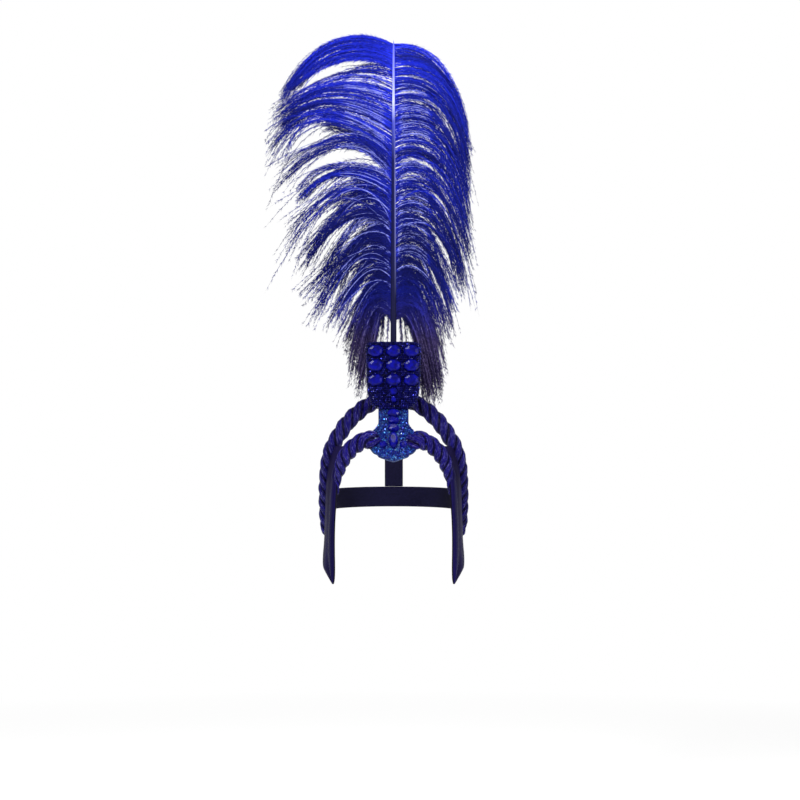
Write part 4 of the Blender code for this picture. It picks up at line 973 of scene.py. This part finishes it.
# Each lock of barbs: where it leaves the shaft, the top of its arch and its tip. Heights are
# shares of the vane's height, and distances out are shares of the reach of that side. Gather says
# how far its barbs keep apart at the arch and tip_gather at the tip, from 0 where they meet to 1.
# Fan is how much nearer the shaft its inner barbs hang, and spread is how far the tips stray.
LOCKS = (
    ("side", "root_low", "root_high", "arch_out", "arch_up", "tip_out", "tip_up", "gather", "tip_gather",
     "fan", "spread", "barbs"),
    (-1, 0.955, 1.000, 0.54, 0.993, 0.98, 0.815, 0.85, 0.60, 0.00, 0.020, 70),
    (-1, 0.905, 0.962, 0.46, 0.957, 0.92, 0.845, 0.70, 0.40, 0.00, 0.020, 64),
    (-1, 0.880, 0.915, 0.25, 0.915, 0.50, 0.895, 0.80, 0.50, 0.10, 0.030, 20),
    (-1, 0.800, 0.890, 0.50, 0.872, 1.04, 0.755, 0.60, 0.50, 0.00, 0.060, 26),
    (-1, 0.740, 0.830, 0.55, 0.835, 1.04, 0.745, 0.50, 0.50, 0.00, 0.050, 40),
    (-1, 0.690, 0.750, 0.56, 0.795, 0.97, 0.715, 0.25, 0.20, 0.00, 0.014, 40),
    (-1, 0.600, 0.710, 0.58, 0.750, 1.06, 0.640, 0.55, 0.50, 0.00, 0.065, 44),
    (-1, 0.520, 0.630, 0.33, 0.690, 0.62, 0.725, 0.60, 0.50, 0.00, 0.030, 36),
    (-1, 0.500, 0.600, 0.42, 0.655, 1.02, 0.540, 0.45, 0.50, 0.00, 0.080, 40),
    (-1, 0.505, 0.540, 0.48, 0.568, 0.84, 0.490, 0.40, 0.20, 0.00, 0.020, 12),
    (-1, 0.455, 0.505, 0.42, 0.545, 0.83, 0.450, 0.50, 0.15, 0.00, 0.020, 32),
    (-1, 0.410, 0.480, 0.36, 0.500, 0.93, 0.320, 0.70, 0.40, 0.00, 0.060, 26),
    (-1, 0.400, 0.470, 0.28, 0.480, 0.60, 0.440, 0.80, 0.60, 0.20, 0.040, 30),
    (-1, 0.320, 0.420, 0.36, 0.420, 0.85, 0.230, 0.80, 0.50, 0.10, 0.070, 60),
    (-1, 0.250, 0.380, 0.30, 0.350, 0.70, 0.150, 0.90, 0.50, 0.30, 0.070, 66),
    (-1, 0.190, 0.310, 0.32, 0.280, 0.80, 0.075, 0.85, 0.40, 0.20, 0.070, 64),
    (-1, 0.130, 0.250, 0.26, 0.210, 0.62, 0.040, 0.90, 0.40, 0.30, 0.070, 60),
    (-1, 0.070, 0.180, 0.22, 0.140, 0.50, -0.050, 0.85, 0.40, 0.35, 0.060, 64),
    (-1, 0.020, 0.130, 0.20, 0.095, 0.40, -0.150, 0.80, 0.50, 0.30, 0.070, 98),
    (-1, 0.000, 0.090, 0.15, 0.070, 0.36, -0.200, 0.80, 0.60, 0.40, 0.060, 84),
    (-1, 0.040, 0.110, 0.07, 0.100, 0.12, -0.050, 0.80, 0.60, 0.60, 0.050, 16),
    (-1, 0.600, 0.820, 0.60, 0.780, 1.07, 0.600, 0.60, 0.60, 0.00, 0.160, 14),
    (-1, 0.300, 0.550, 0.45, 0.500, 1.00, 0.280, 0.60, 0.60, 0.00, 0.140, 14),
    (1, 0.300, 0.800, 0.60, 0.560, 1.05, 0.300, 1.00, 1.00, 0.00, 0.120, 14),
    (1, 0.935, 1.000, 0.60, 0.900, 0.97, 0.690, 1.00, 0.80, 0.00, 0.045, 70),
    (1, 0.840, 0.945, 0.62, 0.840, 0.99, 0.600, 1.00, 0.80, 0.00, 0.045, 84),
    (1, 0.720, 0.850, 0.60, 0.745, 1.00, 0.490, 1.00, 0.80, 0.00, 0.050, 76),
    (1, 0.600, 0.730, 0.58, 0.635, 1.00, 0.375, 0.95, 0.80, 0.00, 0.055, 72),
    (1, 0.480, 0.610, 0.55, 0.520, 1.00, 0.265, 0.90, 0.70, 0.00, 0.065, 70),
    (1, 0.360, 0.490, 0.50, 0.410, 0.95, 0.175, 0.95, 0.70, 0.05, 0.070, 70),
    (1, 0.240, 0.370, 0.44, 0.300, 0.88, 0.060, 1.00, 0.70, 0.15, 0.070, 70),
    (1, 0.130, 0.250, 0.40, 0.200, 0.78, -0.030, 1.00, 0.60, 0.25, 0.070, 70),
    (1, 0.050, 0.180, 0.36, 0.120, 0.70, -0.130, 0.90, 0.60, 0.35, 0.080, 90),
    (1, 0.020, 0.130, 0.33, 0.090, 0.66, -0.220, 0.90, 0.60, 0.40, 0.060, 145),
    (1, 0.000, 0.090, 0.24, 0.060, 0.60, -0.235, 0.80, 0.60, 0.40, 0.060, 105),
    (1, 0.040, 0.100, 0.11, 0.090, 0.20, -0.050, 0.80, 0.60, 0.60, 0.050, 16),
)
TUFT_BARBS = 5
FREE_SHARE = 0.42
CLING = 0.7
TUFT_STRAY = 0.80
OWN_STRAY = 0.40
TIP_STRAY = 0.55
SHORT_TIP = 0.12
FURTHEST_TIP = 1.10
HANDLE = 0.62
BARB_SCATTER = 0.0022
RIPPLE = 0.0009
FRINGE = ((0.0, 0.3, 1.0), (1.15, 1.0, 0.8))
SET_BACK_SHARES = ((0.0, 0.25, 0.75, 1.0), (0.95, 0.90, 1.0, 0.80))


def shaft_at(height):
    """Middle of the shaft at some heights: upright in the holder, leaning back towards its tip."""
    rise = np.clip((height - VANE_BOTTOM) / (SHAFT_TOP - VANE_BOTTOM), 0.0, 1.0)
    lean = SHAFT_LEAN * rise ** 3 - SHAFT_BOW * np.sin(math.pi * rise)
    return np.stack((np.zeros_like(height), QUILL_DEPTH + lean, height), axis=-1)


def barb_paths(lock, rng):
    """Paths of the barbs of one lock (barb, step, xyz)."""
    count = lock["barbs"]
    reach = REACH[lock["side"]]
    vane = SHAFT_TOP - VANE_BOTTOM
    order = (np.arange(count) + rng.uniform(0.1, 0.9, count)) / count
    share = lock["root_low"] + (lock["root_high"] - lock["root_low"]) * order
    root = shaft_at(VANE_BOTTOM + vane * share)
    length = lock["root_high"] - lock["root_low"]
    lift = (order - 0.5) * length * lock["gather"]
    tufts = max(1, count // TUFT_BARBS)
    tuft = np.minimum((order * tufts).astype(int), tufts - 1)
    tuft_order = (tuft + 0.5) / tufts
    free = rng.random(count) < FREE_SHARE
    cling = np.where(free, 0.0, 1.0)
    tip_lift = (order - CLING * cling * (order - tuft_order) - 0.5) * length * lock["tip_gather"]
    own = rng.normal(0.0, 1.0, (count, 4))
    shared = rng.normal(0.0, 1.0, (tufts, 4))[tuft]
    stray = np.where(free[:, None], own, TUFT_STRAY * shared + OWN_STRAY * own)
    hang = 1.0 - lock["fan"] * np.clip(rng.random(tufts)[tuft] + 0.08 * stray[:, 0], 0.0, 1.0)
    arch_out = reach * lock["arch_out"] * hang * (1 + 0.04 * stray[:, 0])
    arch_up = VANE_BOTTOM + vane * (lock["arch_up"] + lift + 0.10 * lock["spread"] * stray[:, 1])
    short = SHORT_TIP * rng.random(count) ** 2
    tip_out = reach * lock["tip_out"] * hang * (1 + TIP_STRAY * lock["spread"] * stray[:, 2] - short)
    tip_up = VANE_BOTTOM + vane * (lock["tip_up"] + tip_lift + TIP_STRAY * lock["spread"] * stray[:, 3])
    tip_out = np.minimum(tip_out, reach * FURTHEST_TIP)
    t = np.linspace(0.0, 1.0, BARB_STEPS)[None, :]
    u = 1.0 - t
    curve = []
    for start, arch, end in (
        (np.zeros(count), arch_out, tip_out),
        (root[:, 2], arch_up, tip_up),
    ):
        pull = (arch - (0.5 - 0.375 * HANDLE) * (start + end)) / (0.75 * HANDLE)
        first = start + HANDLE * (pull - start)
        second = end + HANDLE * (pull - end)
        curve.append(u ** 3 * start[:, None] + 3 * u * u * t * first[:, None]
                     + 3 * u * t * t * second[:, None] + t ** 3 * end[:, None])
    back = np.interp(share, *SET_BACK_SHARES) * SET_BACK
    bend = 1.6 - 0.85 * np.clip(1.0 - share / 0.3, 0.0, 1.0)
    depth = root[:, 1, None] + back[:, None] * t ** bend[:, None]
    depth = depth + rng.normal(0.0, BARB_SCATTER, (count, 1)) * np.sqrt(t)
    wave = rng.uniform(0, math.tau, (count, 1))
    ripple = RIPPLE * np.sin(wave + 9.0 * t) * t
    return np.stack((lock["side"] * curve[0], depth, curve[1] + ripple), axis=-1), share


def barbule_paths(paths, fringe, rng):
    """Paths of the barbules on both sides of each barb, and the barb that each is on."""
    lengths = np.linalg.norm(np.diff(paths, axis=1), axis=-1).sum(axis=1)
    barb = np.repeat(np.arange(len(paths)), np.maximum(4, (2 * lengths / BARBULE_PITCH).astype(int)))
    t = rng.uniform(0.03, 0.985, len(barb))
    spot = t * (BARB_STEPS - 1)
    low = np.minimum(spot.astype(int), BARB_STEPS - 2)
    part = (spot - low)[:, None]
    here, there = paths[barb, low], paths[barb, low + 1]
    root = here + (there - here) * part
    along = unit(there - here)
    back = np.array((0.0, 1.0, 0.0))
    edge = np.cross(along, back) * np.where(rng.random(len(barb)) < 0.5, 1, -1)[:, None]
    tilt = rng.normal(0.0, 0.55, len(barb))[:, None]
    out = unit(edge * np.cos(tilt) + back * np.sin(tilt))
    angle = rng.uniform(0.45, 1.0, len(barb))[:, None]
    size = BARBULE_LENGTH * fringe[barb] * rng.uniform(0.55, 1.25, len(barb))
    size = (size * (1.0 - 0.60 * t) * np.minimum(1.0, 0.35 + 5 * t))[:, None]
    course = along * (0.75 + np.cos(angle)) + out * (0.3 + np.sin(angle))
    course = course - np.array((0, 0, BARBULE_DROOP))
    return np.stack((root, root + unit(course) * size), axis=1), barb


plume_dye = Finish("dyed_ostrich_and_glint", Roughness=0.6, Specular_IOR_Level=0.12)
tone, faded = plume_dye.attribute("tone"), plume_dye.attribute("faded")
# The ramp's pale top, past 0.80, is a painted highlight: the glint lines near the shaft.
blue_dye_and_glint = plume_dye.ramp(
    tone, (0.0, (0.002, 0.002, 0.030)), (0.40, (0.007, 0.013, 0.26)), (0.80, (0.014, 0.031, 0.73)),
    (1.0, (0.30, 0.34, 0.88)))
skirt_dye = plume_dye.ramp(
    tone, (0.0, (0.010, 0.007, 0.034)), (0.6, (0.042, 0.029, 0.12)), (1.0, (0.16, 0.12, 0.30)))
plume_dye.feed("Base Color", plume_dye.mix(faded, blue_dye_and_glint, skirt_dye))

rng = np.random.default_rng(7)
feather = {-1: [], 1: []}
for lock in rows_of(LOCKS):
    paths, share = barb_paths(lock, rng)
    count = len(paths)
    full = np.interp(share, *FULLNESS)
    taper = np.linspace(1.0, 0.35, BARB_STEPS)[None, :] * BARB_RADIUS * rng.uniform(0.8, 1.25, (count, 1))
    taper = taper * full[:, None] ** 0.5
    shade = rng.uniform(0.15, 0.85, count)
    # Painted highlight: some barbs, but not their barbules, get pale lines near the shaft.
    glint = (rng.random(count) < np.interp(share, *GLINT_SHARE)) * (share < GLINT_TOP)
    fringe, barb = barbule_paths(paths, np.interp(share, *FRINGE), rng)
    fine = np.array((1.0, 0.0)) * BARBULE_RADIUS * rng.uniform(0.8, 1.2, (len(fringe), 1))
    fine = fine * full[barb, None]
    batch = []
    for strand_paths, widths, owner in ((paths, taper, np.arange(count)), (fringe, fine, barb)):
        vertices, faces = strands(strand_paths, widths)
        per_strand = len(vertices) // len(strand_paths)
        out = np.abs(vertices[:, 0]) / REACH[lock["side"]]
        lit = np.repeat(glint[owner], per_strand) * (strand_paths is paths)
        lit = lit * (out > GLINT_BAND[0]) * (out < GLINT_BAND[1])
        dark_tip = np.clip((out - DARK_TIP_START[lock["side"]]) / DARK_TIP_LENGTH, 0.0, 1.0)
        climb = (vertices[:, 2] - VANE_BOTTOM) / (SHAFT_TOP - VANE_BOTTOM)
        tone = np.repeat(shade[owner], per_strand) * (1.0 - DARK_TIP * dark_tip)
        tone = tone * np.interp(climb, *TONE_BY_HEIGHT)
        values = {"tone": np.clip(tone, 0.0, BRIGHTEST_TONE) * (1 - lit) + GLINT_TONE * lit,
                  "faded": np.clip((FADE_START - vertices[:, 2]) / FADE_LENGTH, 0.0, 1.0)}
        batch.append((vertices, faces, values))
    feather[lock["side"]].append(batch)


def triangles(faces):
    """How many triangles some faces make."""
    return sum(len(face) * (face.shape[1] - 2) for face in faces)


def join_batches(name, batches):
    """One piece from the strands of several locks."""
    offset = 0
    vertices, faces, values = [], [], {"tone": [], "faded": []}
    for part_vertices, part_faces, part_values in batches:
        vertices.append(part_vertices)
        faces.extend(face + offset for face in part_faces)
        for key, numbers in part_values.items():
            values[key].append(numbers)
        offset += len(part_vertices)
    strand_object(name, np.concatenate(vertices), faces,
                  {key: np.concatenate(numbers) for key, numbers in values.items()}, plume_dye)


for side, word in SIDES:
    number, waiting = 1, []
    for batch in feather[side]:
        if sum(triangles(part[1]) for part in waiting + batch) > PIECE_LIMIT:
            join_batches(f"plume_{word}_{number}", waiting)
            number, waiting = number + 1, []
        waiting += batch
    join_batches(f"plume_{word}_{number}", waiting)

shaft_finish = Finish("plume_shaft", Roughness=0.6, Specular_IOR_Level=0.1)
spot = shaft_finish.place()
climb = shaft_finish.remap(shaft_finish.axis(spot, 2), VANE_BOTTOM, SHAFT_TOP)
# Dark navy low down; the pale band from 0.72 to 0.89 of the climb is a painted highlight where the shaft
# leans back.
shaft_tone_and_highlight = shaft_finish.ramp(
    climb, (0.0, (0.003, 0.003, 0.024)), (0.58, (0.002, 0.003, 0.050)), (0.72, (0.05, 0.06, 0.36)),
    (0.79, (0.42, 0.45, 0.92)), (0.89, (0.20, 0.22, 0.74)), (1.0, (0.09, 0.11, 0.68)))
# Painted highlight: a pale line down the shaft's right side, fading in from a tenth to half of the vane's
# height.
right_edge_highlight = shaft_finish.remap(shaft_finish.axis(spot, 0), 0.0008, 0.0018)
right_edge_highlight = right_edge_highlight * shaft_finish.remap(climb, 0.10, 0.5)
shaft_finish.feed("Base Color", shaft_finish.mix(right_edge_highlight * 0.8, shaft_tone_and_highlight, (0.26, 0.28, 0.72)))
heights = np.concatenate((np.linspace(SHAFT_FOOT, VANE_BOTTOM, 8),
                          np.linspace(VANE_BOTTOM, SHAFT_TOP + TIP_PAST_VANE, 50)[1:]))
rise = np.clip((heights - VANE_BOTTOM) / (SHAFT_TOP - VANE_BOTTOM), 0.0, 1.0)
radii = SHAFT_RADIUS + (SHAFT_TIP_RADIUS - SHAFT_RADIUS) * rise
vertices, faces = strands(shaft_at(heights)[None], radii[None], 16)
shaft = strand_object("plume_shaft", vertices, faces, {}, shaft_finish)
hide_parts("plume")
